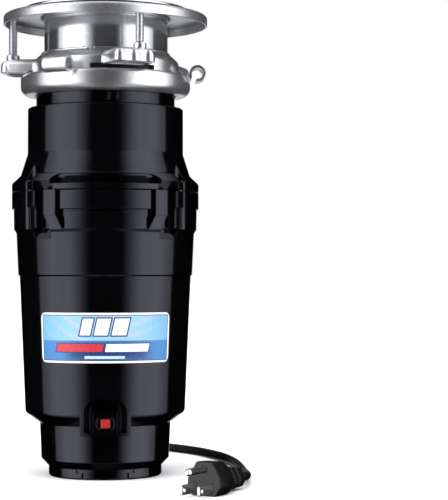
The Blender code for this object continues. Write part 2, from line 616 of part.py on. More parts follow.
def discharge_elbow():
    """A flanged tube that leaves towards the back and bends down."""
    bend_r, start_y, bend_y, foot_z = 26.0, OUTLET_PAD_Y + GAP, 80.0, 128.0
    stations = [(start_y, 23.0), (start_y + 3.8, 23.0), (start_y + 3.8, OUTLET_R)]
    places = [(Vector((0, y, OUTLET_Z)), Vector((0, 1, 0)), reach) for y, reach in stations]
    for step in range(7):
        angle = pi / 2 * step / 6
        centre = Vector((0, bend_y + bend_r * sin(angle), OUTLET_Z - bend_r * (1 - cos(angle))))
        places.append((centre, Vector((0, cos(angle), -sin(angle))), OUTLET_R))
    places.append((Vector((0, bend_y + bend_r, foot_z)), Vector((0, 0, -1)), OUTLET_R))
    bm = bmesh.new()
    outer, inner = [], []
    for centre, heading, reach in places:
        side = Vector((1, 0, 0))
        up = side.cross(heading)
        for rows, radius in ((outer, reach), (inner, OUTLET_BORE_R)):
            rows.append([bm.verts.new(centre + side * x + up * y) for x, y in circle(radius, MEDIUM)])
    inner[2] = inner[1]
    loops = outer + inner[::-1]
    for before, after in zip(loops, loops[1:] + loops[:1]):
        if before is after:
            continue
        for index in range(MEDIUM):
            other = (index + 1) % MEDIUM
            bm.faces.new([before[index], before[other], after[other], after[index]])
    bmesh.ops.delete(bm, geom=[v for v in bm.verts if not v.link_faces], context="VERTS")
    place("discharge_elbow", bm, "black_rubber")


def elbow_flange():
    outline = [(34.5 * cos(tau * k / 24), 24.5 * sin(tau * k / 24)) for k in range(24)]
    frame = along_y(0.0, OUTLET_Z)
    low = OUTLET_PAD_Y + GAP + 3.8 + GAP
    plate = place("elbow_flange", prism_mesh(outline, low, low + 2.4, frame), "satin_steel")
    bore = prism_mesh(circle(OUTLET_R + 0.8, HIDDEN), low - 5, low + 8, frame)
    boolean(plate, "DIFFERENCE", "elbow_flange_bore", bore)
    holes = bmesh.new()
    for number, side in enumerate((-1, 1), 1):
        place_here = along_y(27.0 * side, OUTLET_Z)
        prism_mesh(circle(3.1, SMALL), low - 5, low + 8, place_here, holes)
        head_y = low + 2.4 + GAP
        outline = [
            (0.0, 61.0), (2.7, 61.0), (2.7, head_y), (5.4, head_y), (5.4, head_y + 3.6),
            (0.0, head_y + 3.6)]
        screw = turned_mesh(outline, 12)
        bmesh.ops.transform(screw, matrix=place_here, verts=screw.verts)
        place(f"elbow_screw_{number}", screw, "bright_steel")
    boolean(plate, "DIFFERENCE", "elbow_flange_holes", holes)


# ---------------------------------------------------------------- cord and plug

def strain_relief():
    outline = [
        (0.0, 31.0), (6.0, 31.0), (6.0, 44.3), (8.2, 44.3), (8.2, 47.0), (6.2, 48.0), (4.2, RELIEF_END_Y),
        (0.0, RELIEF_END_Y)]
    relief = turned_mesh(outline, MEDIUM)
    bmesh.ops.transform(relief, matrix=along_y(RELIEF_X, RELIEF_Z), verts=relief.verts)
    place("strain_relief", relief, "black_rubber")


def smooth_route(route, spacing):
    """Points at an even spacing along a smooth curve through the route's points."""
    knots = [Vector(point) for point in route]
    knots = [2 * knots[0] - knots[1]] + knots + [2 * knots[-1] - knots[-2]]
    fine = []
    for a, b, c, d in zip(knots, knots[1:], knots[2:], knots[3:]):
        for step in range(20):
            t = step / 20
            fine.append(0.5 * (2 * b + (c - a) * t + (2 * a - 5 * b + 4 * c - d) * t * t
                               + (3 * b - a - 3 * c + d) * t ** 3))
    fine.append(knots[-2])
    length = sum((after - before).length for before, after in zip(fine, fine[1:]))
    count = max(2, round(length / spacing))
    points, walked, wanted = [fine[0]], 0.0, length / count
    for before, after in zip(fine, fine[1:]):
        stretch = (after - before).length
        while walked + stretch >= wanted - 1e-6 and len(points) < count:
            points.append(before.lerp(after, (wanted - walked) / stretch))
            wanted += length / count
        walked += stretch
    return points + [fine[-1]]


def plug_frame():
    """The plug's face centre on the floor; its own X runs out of the face, along the blades."""
    return Matrix.Translation((*PLUG_FACE, 0)) @ Matrix.Rotation(radians(PLUG_HEADING), 4, "Z")


def cord():
    coil_x, coil_y = COIL_CENTRE
    height = COIL_TURNS * COIL_PITCH
    low = CORD_R + 0.1
    lead = [
        (RELIEF_X, RELIEF_END_Y + GAP, RELIEF_Z), (RELIEF_X, 70.5, RELIEF_Z), (22.4, 79.4, RELIEF_Z - 0.1),
        (17.6, 87.6, RELIEF_Z - 0.2), (11.2, 93.6, RELIEF_Z - 0.3)]
    wire("cord_lead", smooth_route(lead, 7.0), CORD_R, "black_cord")
    coil = rounded([
        (COIL_R - CORD_R, 0.1), (COIL_R + CORD_R, 0.1), (COIL_R + CORD_R, height + 2 * CORD_R),
        (COIL_R - CORD_R, height + 2 * CORD_R)])
    ring_mesh = turned_mesh(coil, 36)
    bmesh.ops.translate(ring_mesh, vec=(coil_x, coil_y, 0), verts=ring_mesh.verts)
    place("cord_coil", ring_mesh, "black_cord")
    behind, rear = (plug_frame() @ Vector((-PLUG_LENGTH - back, 0, TAIL_Z)) for back in (9.0, 0.8))
    run = [
        (19.0, coil_y + COIL_R, low), (33.0, 168.0, low), (46.5, 158.5, low), (58.5, 143.0, low),
        (72.0, 121.0, low), (83.5, 92.0, low), (90.0, 66.0, low), (93.4, 38.0, low), (94.8, 6.0, low),
        (95.0, -25.0, low), (94.4, -54.0, low + 1.6), (behind.x, behind.y, behind.z - 0.6), tuple(rear)]
    wire("cord_run", smooth_route(run, 13.0), CORD_R, "black_cord")


def plug():
    """A moulded three-pin plug lying on the floor with its round pin uppermost."""
    frame = plug_frame()
    blade_z, pin_z = 5.0, 16.6
    stations = [
        (0.0, 1.0, 0.0, 21.5), (-13.0, 0.97, 0.0, 21.0), (-25.0, 0.62, 1.2, 16.5), (-28.0, 0.54, 1.6, 15.2),
        (-PLUG_LENGTH, 0.48, 2.2, 14.2)]
    corners = [(8.5, 0.0), (12.3, 0.28), (11.8, 0.51), (5.5, 1.0)]
    corners += [(-half, share) for half, share in reversed(corners)]
    rings = [[frame @ Vector((x, half * scale, low + (high - low) * share)) for half, share in corners]
             for x, scale, low, high in stations]
    body = place("plug_body", loft_mesh(rings), "black_cord")
    holes = bmesh.new()
    for name, across in (("plug_blade_live", 6.35), ("plug_blade_neutral", -6.35)):
        shape = box_mesh((-8.0, across - 0.75, blade_z - 3.17), (17.5, across + 0.75, blade_z + 3.17))
        bmesh.ops.transform(shape, matrix=frame, verts=shape.verts)
        blade = place(name, shape, "brass")
        across_blade = Matrix.Translation((14.0, across, blade_z)) @ Matrix.Rotation(pi / 2, 4, "X")
        drill = prism_mesh(circle(1.6, SMALL), -2.0, 2.0, frame @ across_blade)
        boolean(blade, "DIFFERENCE", name + "_hole", drill)
        box_mesh((-8.4, across - 1.05, blade_z - 3.47), (3.0, across + 1.05, blade_z + 3.47), holes)
    pin = [(0.0, -8.0), (2.4, -8.0), (2.4, 19.0), (1.4, 20.6), (0.0, 20.6)]
    pin_mesh = turned_mesh(pin, SMALL)
    lay = Matrix.Translation((0, 0, pin_z)) @ Matrix.Rotation(pi / 2, 4, "Y")
    bmesh.ops.transform(pin_mesh, matrix=frame @ lay, verts=pin_mesh.verts)
    place("plug_ground_pin", pin_mesh, "brass")
    prism_mesh(circle(2.7, SMALL), -8.4, 3.0, lay, holes)
    bmesh.ops.transform(holes, matrix=frame, verts=holes.verts)
    boolean(body, "DIFFERENCE", "plug_contact_holes", holes)


def build():
    clear_scene()
    sink_flange()
    fibre_gasket()
    support_flange()
    snap_ring()
    splash_guard()
    sink_stopper()
    mounting_ring()
    mount_screws()
    cushion_mount()
    turn_ring()
    hopper_housing()
    grind_ring()
    hopper_gasket()
    housing_screws()
    turntable()
    impellers()
    turntable_nut()
    motor_shaft()
    armature()
    slinger()
    upper_end_plate()
    bearings_and_seal()
    motor_can()
    magnets()
    brush_gear()
    lower_end_bell()
    motor_housing()
    reset_parts()
    base_cover()
    label_plate()
    discharge_elbow()
    elbow_flange()
    strain_relief()
    cord()
    plug()


build()
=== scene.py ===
"""Looks of the kitchen garbage disposal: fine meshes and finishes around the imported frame.

Lengths in the functions below are millimetres in the frame's own axes; piece() turns them into metres.
The reset button faces -Y, the base stands on z = 0.
"""

import json
from functools import partial
from math import atan2, cos, pi, radians, sin, tau

import bmesh
import bpy
from mathutils import Matrix, Vector


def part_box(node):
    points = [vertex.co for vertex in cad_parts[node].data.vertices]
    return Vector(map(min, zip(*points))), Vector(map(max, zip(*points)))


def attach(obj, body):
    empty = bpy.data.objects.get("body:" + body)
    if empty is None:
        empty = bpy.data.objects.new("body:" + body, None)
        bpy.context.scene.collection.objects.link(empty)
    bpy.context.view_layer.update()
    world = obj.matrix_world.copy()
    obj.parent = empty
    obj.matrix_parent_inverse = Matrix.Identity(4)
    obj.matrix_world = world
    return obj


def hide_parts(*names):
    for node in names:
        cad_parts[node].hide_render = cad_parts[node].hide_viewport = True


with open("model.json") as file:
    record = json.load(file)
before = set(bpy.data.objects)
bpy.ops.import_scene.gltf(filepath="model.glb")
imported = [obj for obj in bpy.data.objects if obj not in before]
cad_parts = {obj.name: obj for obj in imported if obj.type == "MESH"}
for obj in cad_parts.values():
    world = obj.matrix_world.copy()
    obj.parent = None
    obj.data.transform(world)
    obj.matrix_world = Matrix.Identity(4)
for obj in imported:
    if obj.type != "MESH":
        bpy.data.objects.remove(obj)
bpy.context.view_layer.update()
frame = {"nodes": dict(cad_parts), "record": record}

MM = 0.001
GAP = 0.3                       # clearance between touching pieces
FINE, SMALL = 180, 32           # sides of the body and of small turned shapes
FRONT = -90.0                   # heading of the front, in degrees about Z


# ---------------------------------------------------------------- sizes from the frame

def span(node):
    """Lowest and highest corner of a CAD node, in millimetres."""
    low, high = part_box(node)
    return low / MM, high / MM


def reach(node):
    """Outer radius of a node that is turned about Z."""
    return span(node)[1].x


def foot(node):
    return span(node)[0].z


def top(node):
    return span(node)[1].z


def middle(node):
    low, high = span(node)
    return (low + high) / 2


SLEEVE_R, SLEEVE_WALL = 42.7, 1.4
DISC_R, DISC_TOP, DISC_RIM = reach("support_flange"), top("support_flange"), foot("support_flange")
BODY_R = reach("hopper_housing")
NECK_TOP = top("hopper_housing")
TURN_LOW = foot("turn_ring")
BASE_R, BASE_TOP = reach("base_cover"), 7.2
SCREW_ANGLES = (-34.0, -146.0, 34.0, 146.0)     # housing screws
LUG_ANGLES = (50.0, 170.0, 290.0)
EAR_ANGLES = (0.0, 120.0, 240.0)
OUTLET_Z = middle("elbow_flange").z


# ---------------------------------------------------------------- camera, light and floor

CAMERA_AT = (0.0, -1.218, 0.138)
CAMERA_LENS, SENSOR = 125.28, 36.0      # mm
CAMERA_YAW, CAMERA_PITCH = radians(3.896), radians(0.856)


def placed(obj):
    bpy.context.scene.collection.objects.link(obj)
    return obj


def camera():
    data = bpy.data.cameras.new("camera")
    data.sensor_width = SENSOR
    data.lens = CAMERA_LENS
    data.clip_start, data.clip_end = 0.05, 100.0
    made = placed(bpy.data.objects.new("camera", data))
    made.location = CAMERA_AT
    made.rotation_euler = (pi / 2 + CAMERA_PITCH, 0.0, -CAMERA_YAW)
    bpy.context.scene.camera = made


def add(tree, kind, inputs=None, **settings):
    """A new shader node; inputs maps a socket to a value or to another node's output."""
    node = tree.nodes.new("ShaderNode" + kind)
    for key, value in settings.items():
        setattr(node, key, value)
    for socket, value in (inputs or {}).items():
        if isinstance(value, bpy.types.NodeSocket):
            tree.links.new(value, node.inputs[socket])
        else:
            node.inputs[socket].default_value = value
    return node


def ramp(tree, value, low, high, start, end):
    """A smooth step of a value from start at low to end at high."""
    inputs = {0: value, 1: low, 2: high, 3: start, 4: end}
    return add(tree, "MapRange", inputs, interpolation_type="SMOOTHSTEP").outputs[0]


def worked(tree, operation, first, second=0.0):
    """The result of a Math node."""
    return add(tree, "Math", {0: first, 1: second}, operation=operation).outputs[0]


def product(tree, first, *others):
    for other in others:
        first = worked(tree, "MULTIPLY", first, other)
    return first


def studio():
    """Two tall soft boxes at the sides, one light above and behind, a narrow one straight behind, and a
    soft overhead lamp. The camera itself sees a plain white backdrop."""
    world = bpy.data.worlds.new("studio")
    bpy.context.scene.world = world
    world.use_nodes = True
    tree = world.node_tree
    tree.nodes.clear()
    work, step = partial(worked, tree), partial(ramp, tree)
    ray = add(tree, "TexCoord").outputs["Generated"]
    parts = add(tree, "SeparateXYZ", {0: ray}).outputs
    side = work("ABSOLUTE", parts["X"])
    ahead = work("MULTIPLY", parts["Y"], -1.0)
    azimuth = work("ARCTAN2", side, ahead)
    height = parts["Z"]
    box = product(
        tree,
        step(azimuth, radians(19), radians(54), 0.0, 1.0),
        step(azimuth, radians(70), radians(98), 1.0, 0.42),
        step(azimuth, radians(97), radians(101), 1.0, 0.0),
        step(height, sin(radians(54)), sin(radians(70)), 1.0, 0.04),
        step(height, sin(radians(-50)), sin(radians(-24)), 0.25, 1.0), 2.15)
    rear = product(
        tree,
        step(azimuth, radians(166), radians(172), 0.0, 1.0),
        step(height, 0.02, 0.12, 1.0, 0.0),
        step(height, -0.5, -0.3, 0.0, 1.0), 0.7)
    above = product(
        tree,
        step(height, 0.55, 0.92, 0.0, 1.2),
        step(ahead, -0.12, 0.30, 1.0, 0.0))
    total = box
    for part in (rear, above):
        total = work("ADD", total, part)
    seen = add(tree, "LightPath").outputs["Is Camera Ray"]
    level = add(tree, "Mix", {0: seen, 2: total, 3: 1.0}).outputs[0]
    tints = {0: seen, 6: (0.975, 0.985, 1.02, 1.0), 7: (1.0, 1.0, 1.0, 1.0)}
    tint = add(tree, "Mix", tints, data_type="RGBA")
    shown = add(tree, "Background", {"Color": tint.outputs[2], "Strength": level})
    output = add(tree, "OutputWorld")
    tree.links.new(shown.outputs[0], output.inputs[0])

    lamp = bpy.data.lights.new("overhead", "SUN")
    lamp.energy, lamp.angle = 3.3, radians(70)
    sun = placed(bpy.data.objects.new("overhead", lamp))
    sun.rotation_euler = (radians(18), radians(-6), 0.0)
    sun.visible_glossy = False
    bpy.context.scene.view_settings.view_transform = "Standard"


def floor():
    bm = bmesh.new()
    bmesh.ops.create_grid(bm, x_segments=2, y_segments=2, size=30.0)
    mesh = bpy.data.meshes.new("floor")
    bm.to_mesh(mesh)
    bm.free()
    made = bpy.data.materials.new("floor")
    made.use_nodes = True
    tree = made.node_tree
    shader = tree.nodes["Principled BSDF"]
    shader.inputs["Specular IOR Level"].default_value = 0.0
    shader.inputs["Roughness"].default_value = 0.9
    cloud = add(tree, "TexNoise", {"Scale": 3.0, "Detail": 3.0}).outputs[0]
    ends = {0: cloud, 6: (0.93, 0.93, 0.93, 1), 7: (0.955, 0.955, 0.955, 1)}
    pale = add(tree, "Mix", ends, data_type="RGBA")
    tree.links.new(pale.outputs[2], shader.inputs["Base Color"])
    mesh.materials.append(made)
    obj = placed(bpy.data.objects.new("floor", mesh))
    obj.visible_glossy = False


# ---------------------------------------------------------------- finishes

EVEN, LEVEL_LINES = (1.0, 1.0, 1.0), (0.02, 0.02, 1.0)


def surface(name, colour, dark, rough, metallic, patches, bumps, stretch=EVEN, edge=0.0, **fixed):
    """A procedural finish. colour and dark are mixed in patches, rough is a (lowest, highest) pair, each
    bump is (scale, distance in mm, and a stretch if uneven), and edge rounds sharp edges by that many mm."""
    made = bpy.data.materials.new(name)
    made.use_nodes = True
    tree = made.node_tree
    shader = tree.nodes["Principled BSDF"]
    place = add(tree, "TexCoord").outputs["Object"]

    def noise(scale, pull=EVEN, detail=4.0):
        laid = add(tree, "Mapping", {"Vector": place, "Scale": pull}).outputs[0]
        return add(tree, "TexNoise", {"Vector": laid, "Scale": scale, "Detail": detail}).outputs[0]
    broad = noise(patches, stretch)
    sharp = ramp(tree, broad, 0.36, 0.64, 0.0, 1.0)
    mixed = add(tree, "Mix", {0: sharp, 6: (*colour, 1.0), 7: (*dark, 1.0)}, data_type="RGBA")
    tree.links.new(mixed.outputs[2], shader.inputs["Base Color"])
    fine = noise(patches * 9.0, stretch, 6.0)
    tree.links.new(ramp(tree, fine, 0.3, 0.7, rough[0], rough[1]), shader.inputs["Roughness"])
    normal = add(tree, "Bevel", {"Radius": edge * MM}, samples=4).outputs[0] if edge else None
    for scale, distance, *pull in bumps:
        inputs = {"Height": noise(scale, *pull), "Distance": distance * MM, "Strength": 1.0}
        if normal:
            inputs["Normal"] = normal
        normal = add(tree, "Bump", inputs).outputs[0]
    if normal:
        tree.links.new(normal, shader.inputs["Normal"])
    shader.inputs["Metallic"].default_value = metallic
    for socket, value in fixed.items():
        shader.inputs[socket.replace("_", " ")].default_value = value
    return made


def finishes():
    """One finish for each material slot of the record."""
    return {
        "stainless": surface(
            "stainless", (0.76, 0.77, 0.79), (0.70, 0.71, 0.73), (0.12, 0.17), 0.92, 700.0,
            [(3600.0, 0.0005, LEVEL_LINES)], LEVEL_LINES),
        "satin_steel": surface(
            "satin_steel", (0.78, 0.785, 0.80), (0.68, 0.685, 0.70), (0.26, 0.36), 0.93, 420.0,
            [(2400.0, 0.012), (240.0, 0.008)], edge=0.4),
        "cast_metal": surface(
            "cast_metal", (0.88, 0.885, 0.90), (0.74, 0.745, 0.76), (0.20, 0.32), 0.93, 900.0,
            [(2200.0, 0.030), (300.0, 0.016)], edge=0.7),
        "bright_steel": surface(
            "bright_steel", (0.86, 0.86, 0.87), (0.72, 0.72, 0.73), (0.18, 0.30), 0.92, 500.0,
            [(2500.0, 0.006)], edge=0.2),
        "black_gloss": surface(
            "black_gloss", (0.0009, 0.0009, 0.0012), (0.0014, 0.0014, 0.0018), (0.07, 0.12), 0.0, 30.0,
            [(26.0, 0.020), (900.0, 0.0008)], edge=0.6, IOR=1.5,
            Specular_Tint=(0.85, 0.88, 1.0, 1.0)),
        "black_rubber": surface(
            "black_rubber", (0.009, 0.009, 0.010), (0.014, 0.014, 0.015), (0.45, 0.68), 0.0, 90.0,
            [(1500.0, 0.03), (120.0, 0.05)], edge=0.4),
        "stopper_rubber": surface(
            "stopper_rubber", (0.024, 0.025, 0.033), (0.034, 0.035, 0.045), (0.42, 0.62), 0.0, 70.0,
            [(1300.0, 0.03), (90.0, 0.06)], edge=0.5),
        "fibre": surface(
            "fibre", (0.26, 0.23, 0.19), (0.16, 0.145, 0.12), (0.80, 0.95), 0.0, 800.0,
            [(1900.0, 0.08, (1.0, 1.0, 3.0))], (1.0, 1.0, 4.0)),
        "red_plastic": surface(
            "red_plastic", (0.40, 0.016, 0.022), (0.34, 0.012, 0.018), (0.22, 0.34), 0.0, 300.0,
            [(1500.0, 0.01)], edge=0.35),
        "black_cord": surface(
            "black_cord", (0.0035, 0.0035, 0.0038), (0.006, 0.006, 0.0063), (0.30, 0.42), 0.0, 120.0,
            [(1800.0, 0.02), (200.0, 0.03)], edge=0.4),
        "brass": surface(
            "brass", (0.80, 0.79, 0.765), (0.68, 0.67, 0.645), (0.20, 0.36), 1.0, 600.0,
            [(2400.0, 0.008)], edge=0.2),
        "copper": surface(
            "copper", (0.72, 0.30, 0.14), (0.50, 0.18, 0.08), (0.28, 0.46), 1.0, 900.0,
            [(1400.0, 0.12, (1.0, 1.0, 8.0))], (1.0, 1.0, 6.0)),
        "carbon": surface(
            "carbon", (0.035, 0.035, 0.038), (0.055, 0.055, 0.058), (0.50, 0.70), 0.2, 1200.0,
            [(2200.0, 0.03)]),
        "ferrite": surface(
            "ferrite", (0.055, 0.056, 0.062), (0.075, 0.075, 0.082), (0.50, 0.66), 0.0, 500.0,
            [(1500.0, 0.05)], edge=0.4),
        "aluminium": surface(
            "aluminium", (0.62, 0.63, 0.645), (0.50, 0.51, 0.525), (0.34, 0.50), 1.0, 400.0,
            [(1300.0, 0.05)], edge=0.4),
        "grey_plastic": surface(
            "grey_plastic", (0.15, 0.15, 0.16), (0.19, 0.19, 0.20), (0.38, 0.52), 0.0, 200.0,
            [(1600.0, 0.02)], edge=0.3),
    }


FINISH = finishes()


# ---------------------------------------------------------------- shapes

def rounded(corners, steps=5):
    """A closed outline in which each corner given as (x, y, radius) becomes an arc."""
    points = []
    for index, corner in enumerate(corners):
        here = Vector(corner[:2])
        if len(corner) == 2:
            points.append(here)
            continue
        before = (Vector(corners[index - 1][:2]) - here).normalized()
        after = (Vector(corners[(index + 1) % len(corners)][:2]) - here).normalized()
        half = before.angle(after) / 2
        centre = here + (before + after).normalized() * (corner[2] / sin(half))
        length = corner[2] * cos(half) / sin(half)
        first, last = here + before * length - centre, here + after * length - centre
        turn = atan2(first.x * last.y - first.y * last.x, first.dot(last))
        for step in range(steps + 1):
            points.append(centre + Matrix.Rotation(turn * step / steps, 2) @ first)
    return points


def polar(radius, angle, z):
    return Vector((radius * cos(angle), radius * sin(angle), z))


def arc(centre, radius, start, end, steps):
    angles = [radians(start + (end - start) * step / steps) for step in range(steps + 1)]
    return [Vector((centre[0] + radius * cos(a), centre[1] + radius * sin(a))) for a in angles]


def circle(radius, sides=SMALL, centre=(0.0, 0.0)):
    return [(centre[0] + radius * cos(tau * side / sides), centre[1] + radius * sin(tau * side / sides))
            for side in range(sides)]


def supported(outline, margin=0.35, longest=3.0):
    """The outline with a point just inside both ends of each long stretch, so that flats shade flat."""
    points = []
    for here, after in zip(outline, list(outline[1:]) + [outline[0]]):
        here, after = Vector(here), Vector(after)
        points.append(here)
        if (after - here).length > longest and max(here.x, after.x) > 1e-6:
            step = (after - here).normalized() * margin
            points += [here + step, after - step]
    return points


def turned(outline, sides=FINE, wave=None):
    """A closed outline of (radius, height) turned about Z; wave(angle, radius, height) moves a point."""
    bm = bmesh.new()
    rows = []
    for radius, height in supported([Vector(point[:2]) for point in outline]):
        if radius < 1e-6:
            rows.append([bm.verts.new((0, 0, height))] * sides)
            continue
        row = []
        for side in range(sides):
            angle = tau * side / sides
            far, high = wave(angle, radius, height) if wave else (radius, height)
            row.append(bm.verts.new((far * cos(angle), far * sin(angle), high)))
        rows.append(row)
    for lower, upper in zip(rows, rows[1:] + rows[:1]):
        for side in range(sides):
            after = (side + 1) % sides
            face = list(dict.fromkeys([lower[side], lower[after], upper[after], upper[side]]))
            if len(face) > 2:
                bm.faces.new(face)
    return bm


def prism(outline, low, high, place=Matrix.Identity(4), bm=None):
    """An outline in its own XY plane, extruded from low to high, then moved by place."""
    bm = bm or bmesh.new()
    lower = [bm.verts.new(place @ Vector((point[0], point[1], low))) for point in outline]
    upper = [bm.verts.new(place @ Vector((point[0], point[1], high))) for point in outline]
    bm.faces.new(lower)
    bm.faces.new(list(reversed(upper)))
    for index in range(len(outline)):
        after = (index + 1) % len(outline)
        bm.faces.new([lower[index], upper[index], upper[after], lower[after]])
    return bm


def box(low, high, place=Matrix.Identity(4), bm=None):
    outline = [(low[0], low[1]), (high[0], low[1]), (high[0], high[1]), (low[0], high[1])]
    return prism(outline, low[2], high[2], place, bm)


def loft(rings, bm=None):
    """Joins rings of equally many points by quads and closes both ends."""
    bm = bm or bmesh.new()
    rows = [[bm.verts.new(point) for point in ring] for ring in rings]
    for before, after in zip(rows, rows[1:]):
        for index in range(len(before)):
            other = (index + 1) % len(before)
            bm.faces.new([before[index], before[other], after[other], after[index]])
    bm.faces.new(rows[0])
    bm.faces.new(list(reversed(rows[-1])))
    return bm


def stacked(outline, levels, place=Matrix.Identity(4)):
    """The ring outline(inset) at each (height, inset) of levels, joined."""
    return loft([[place @ Vector((x, y, z)) for x, y in outline(inset)] for z, inset in levels])


def sector(outline, start, end, step=2.0, bm=None):
    """A closed outline of (radius, height) turned through part of a circle, with flat ends."""
    steps = max(1, round(abs(end - start) / step))
    rings = []
    for number in range(steps + 1):
        angle = radians(start + (end - start) * number / steps)
        rings.append([polar(r, angle, z) for r, z in outline])
    return loft(rings, bm)


def wall_block(corners, inner, outer, bm=None):
    """A block between two radii whose sides, seen from the front, are straight lines between corners.
    Corners are (degrees from the front, height); inner and outer are radii, one for each corner or one."""
    def ring(radii):
        radii = radii if isinstance(radii, (list, tuple)) else [radii] * len(corners)
        angles = [radians(FRONT + corner[0]) for corner in corners]
        return [polar(r, a, c[1]) for r, a, c in zip(radii, angles, corners)]
    return loft([ring(inner), ring(outer)], bm)


def merged(*shapes):
    """Several shapes put in one bmesh, without joining them."""
    whole = bmesh.new()
    for shape in shapes:
        held = bpy.data.meshes.new("held")
        shape.to_mesh(held)
        shape.free()
        whole.from_mesh(held)
        bpy.data.meshes.remove(held)
    return whole


def moved(bm, place):
    bmesh.ops.transform(bm, matrix=place, verts=bm.verts)
    return bm


def spin(angle, x=0.0, y=0.0, z=0.0):
    """A turn about Z in degrees, after a shift."""
    return Matrix.Rotation(radians(angle), 4, "Z") @ Matrix.Translation((x, y, z))


def along_y(x=0.0, z=0.0):
    """A frame whose own Z runs along +Y and whose own Y is up."""
    return Matrix.Translation((x, 0, z)) @ Matrix(((-1, 0, 0, 0), (0, 0, 1, 0), (0, 1, 0, 0), (0, 0, 0, 1)))


def scratch(bm):
    """A shape as an object that only lives while others are carved with it."""
    bmesh.ops.recalc_face_normals(bm, faces=bm.faces)
    mesh = bpy.data.meshes.new("scratch")
    bm.to_mesh(mesh)
    bm.free()
    return placed(bpy.data.objects.new("scratch", mesh))


ADD, CUT = "UNION", "DIFFERENCE"


def carved(bm, *steps):
    """Applies (ADD or CUT, shape) steps to a shape, one after another."""
    base = scratch(bm)
    guides = []
    for operation, tool in steps:
        guides.append(scratch(tool))
        modifier = base.modifiers.new("step", "BOOLEAN")
        modifier.operation, modifier.object = operation, guides[-1]
    result = bmesh.new()
    result.from_object(base, bpy.context.evaluated_depsgraph_get())
    for obj in [base, *guides]:
        mesh = obj.data
        bpy.data.objects.remove(obj)
        bpy.data.meshes.remove(mesh)
    bmesh.ops.remove_doubles(result, verts=result.verts, dist=0.002)
    bmesh.ops.dissolve_degenerate(result, edges=result.edges, dist=0.002)
    return result


def turn_normals(mesh):
    """Points the normals of faces that were turned about Z straight out from the axis."""
    normals = [Vector(corner.vector) for corner in mesh.corner_normals]
    for face in mesh.polygons:
        flat, out = face.normal.xy, face.center.xy
        if flat.length < 0.05 or out.length < 1e-4 or abs(flat.normalized().dot(out.normalized())) < 0.9993:
            continue
        sign = 1 if flat.dot(out) > 0 else -1
        for index in face.loop_indices:
            spoke = mesh.vertices[mesh.loops[index].vertex_index].co.xy
            width = normals[index].xy.length
            if spoke.length > 1e-4 and width > 0.02:
                spoke = spoke.normalized() * width * sign
                normals[index] = Vector((spoke.x, spoke.y, normals[index].z)).normalized()
    mesh.normals_split_custom_set(normals)


def piece(node, bm, slot, body="root", name="", sharp=34.0, about_z=False):
    """The visible piece that stands for a CAD node, from a bmesh in millimetres, riding on a body."""
    name = name or node + "_fine"
    bmesh.ops.recalc_face_normals(bm, faces=bm.faces)
    bmesh.ops.scale(bm, vec=(MM, MM, MM), verts=bm.verts)
    mesh = bpy.data.meshes.new(name)
    bm.to_mesh(mesh)
    bm.free()
    mesh.shade_smooth()
    mesh.set_sharp_from_angle(angle=radians(sharp))
    mesh.materials.append(FINISH[slot])
    if about_z:
        turn_normals(mesh)
    return shown(bpy.data.objects.new(name, mesh), slot, body, node)


def shown(obj, slot, body, *nodes):
    """Puts a visible piece on its body, in place of its CAD nodes; its slot argument is not used."""
    placed(obj)
    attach(obj, body)
    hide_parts(*nodes)
    return obj


def wire(name, points, radius, slot, *nodes, resolution=5):
    """A round wire along points in millimetres, with closed ends."""
    curve = bpy.data.curves.new(name, "CURVE")
    curve.dimensions = "3D"
    curve.bevel_depth = radius * MM
    curve.bevel_resolution = resolution
    curve.use_fill_caps = True
    spline = curve.splines.new("POLY")
    spline.points.add(len(points) - 1)
    for point, at in zip(spline.points, points):
        point.co = (at[0] * MM, at[1] * MM, at[2] * MM, 1.0)
    curve.materials.append(FINISH[slot])
    return shown(bpy.data.objects.new(name, curve), slot, "root", *nodes)


# ---------------------------------------------------------------- sink fittings

def sink_flange():
    bore, under, high, rim = SLEEVE_R - SLEEVE_WALL, top("fibre_gasket") + GAP, 324.0, reach("sink_flange")
    outline = rounded([
        (bore, foot("sink_flange"), 0.5), (SLEEVE_R, foot("sink_flange"), 0.5), (SLEEVE_R, under, 0.2),
        (rim, under, 0.3), (rim, high, 0.7), (48.0, high - 0.6, 3.0), (bore, high - 0.7, 1.2)])
    piece("sink_flange", turned(outline), "stainless", about_z=True)


def fibre_gasket():
    low, high, rim = foot("fibre_gasket"), top("fibre_gasket"), reach("fibre_gasket")

    def ragged(angle, radius, height):
        fray = 0.12 * sin(17 * angle) + 0.08 * sin(41 * angle + 1.0)
        return radius + (fray if radius > 50 else 0.0), height
    outline = rounded([
        (SLEEVE_R + 0.4, low, 0.3), (rim, low, 0.5), (rim, high, 0.5), (SLEEVE_R + 0.4, high, 0.3)])
    piece("fibre_gasket", turned(outline, FINE, ragged), "fibre", "support_flange")


def support_flange():
    """A pressed disc with a rim turned down and a drawn collar whose lip is bright."""
    sheet, collar, under = 1.5, SLEEVE_R + 0.4, DISC_TOP - 1.5
    outline = rounded([
        (DISC_R, DISC_RIM, 0.6), (DISC_R, DISC_TOP, 2.4), (collar, DISC_TOP, 1.4), (collar, 314.8, 0.4),
        (collar + sheet, 314.8, 0.5), (collar + sheet, under, 1.6), (DISC_R - sheet, under, 1.2),
        (DISC_R - sheet, DISC_RIM, 0.5)])
    piece("support_flange", turned(outline), "satin_steel", "support_flange", about_z=True)


def snap_ring():
    """A split wire ring whose two ends turn outwards a little."""
    level, radius, wire_r = middle("snap_ring").z, 44.1, 1.0
    start, end, points = -100.0, 254.0, []
    for step in range(145):
        share = step / 144
        angle = radians(start + (end - start) * share)
        flick = max(0.0, abs(share - 0.5) - 0.485) / 0.015
        far = radius + 0.9 * flick * flick
        points.append((far * cos(angle), far * sin(angle), level))
    wire("snap_ring_fine", points, wire_r, "bright_steel", "snap_ring")


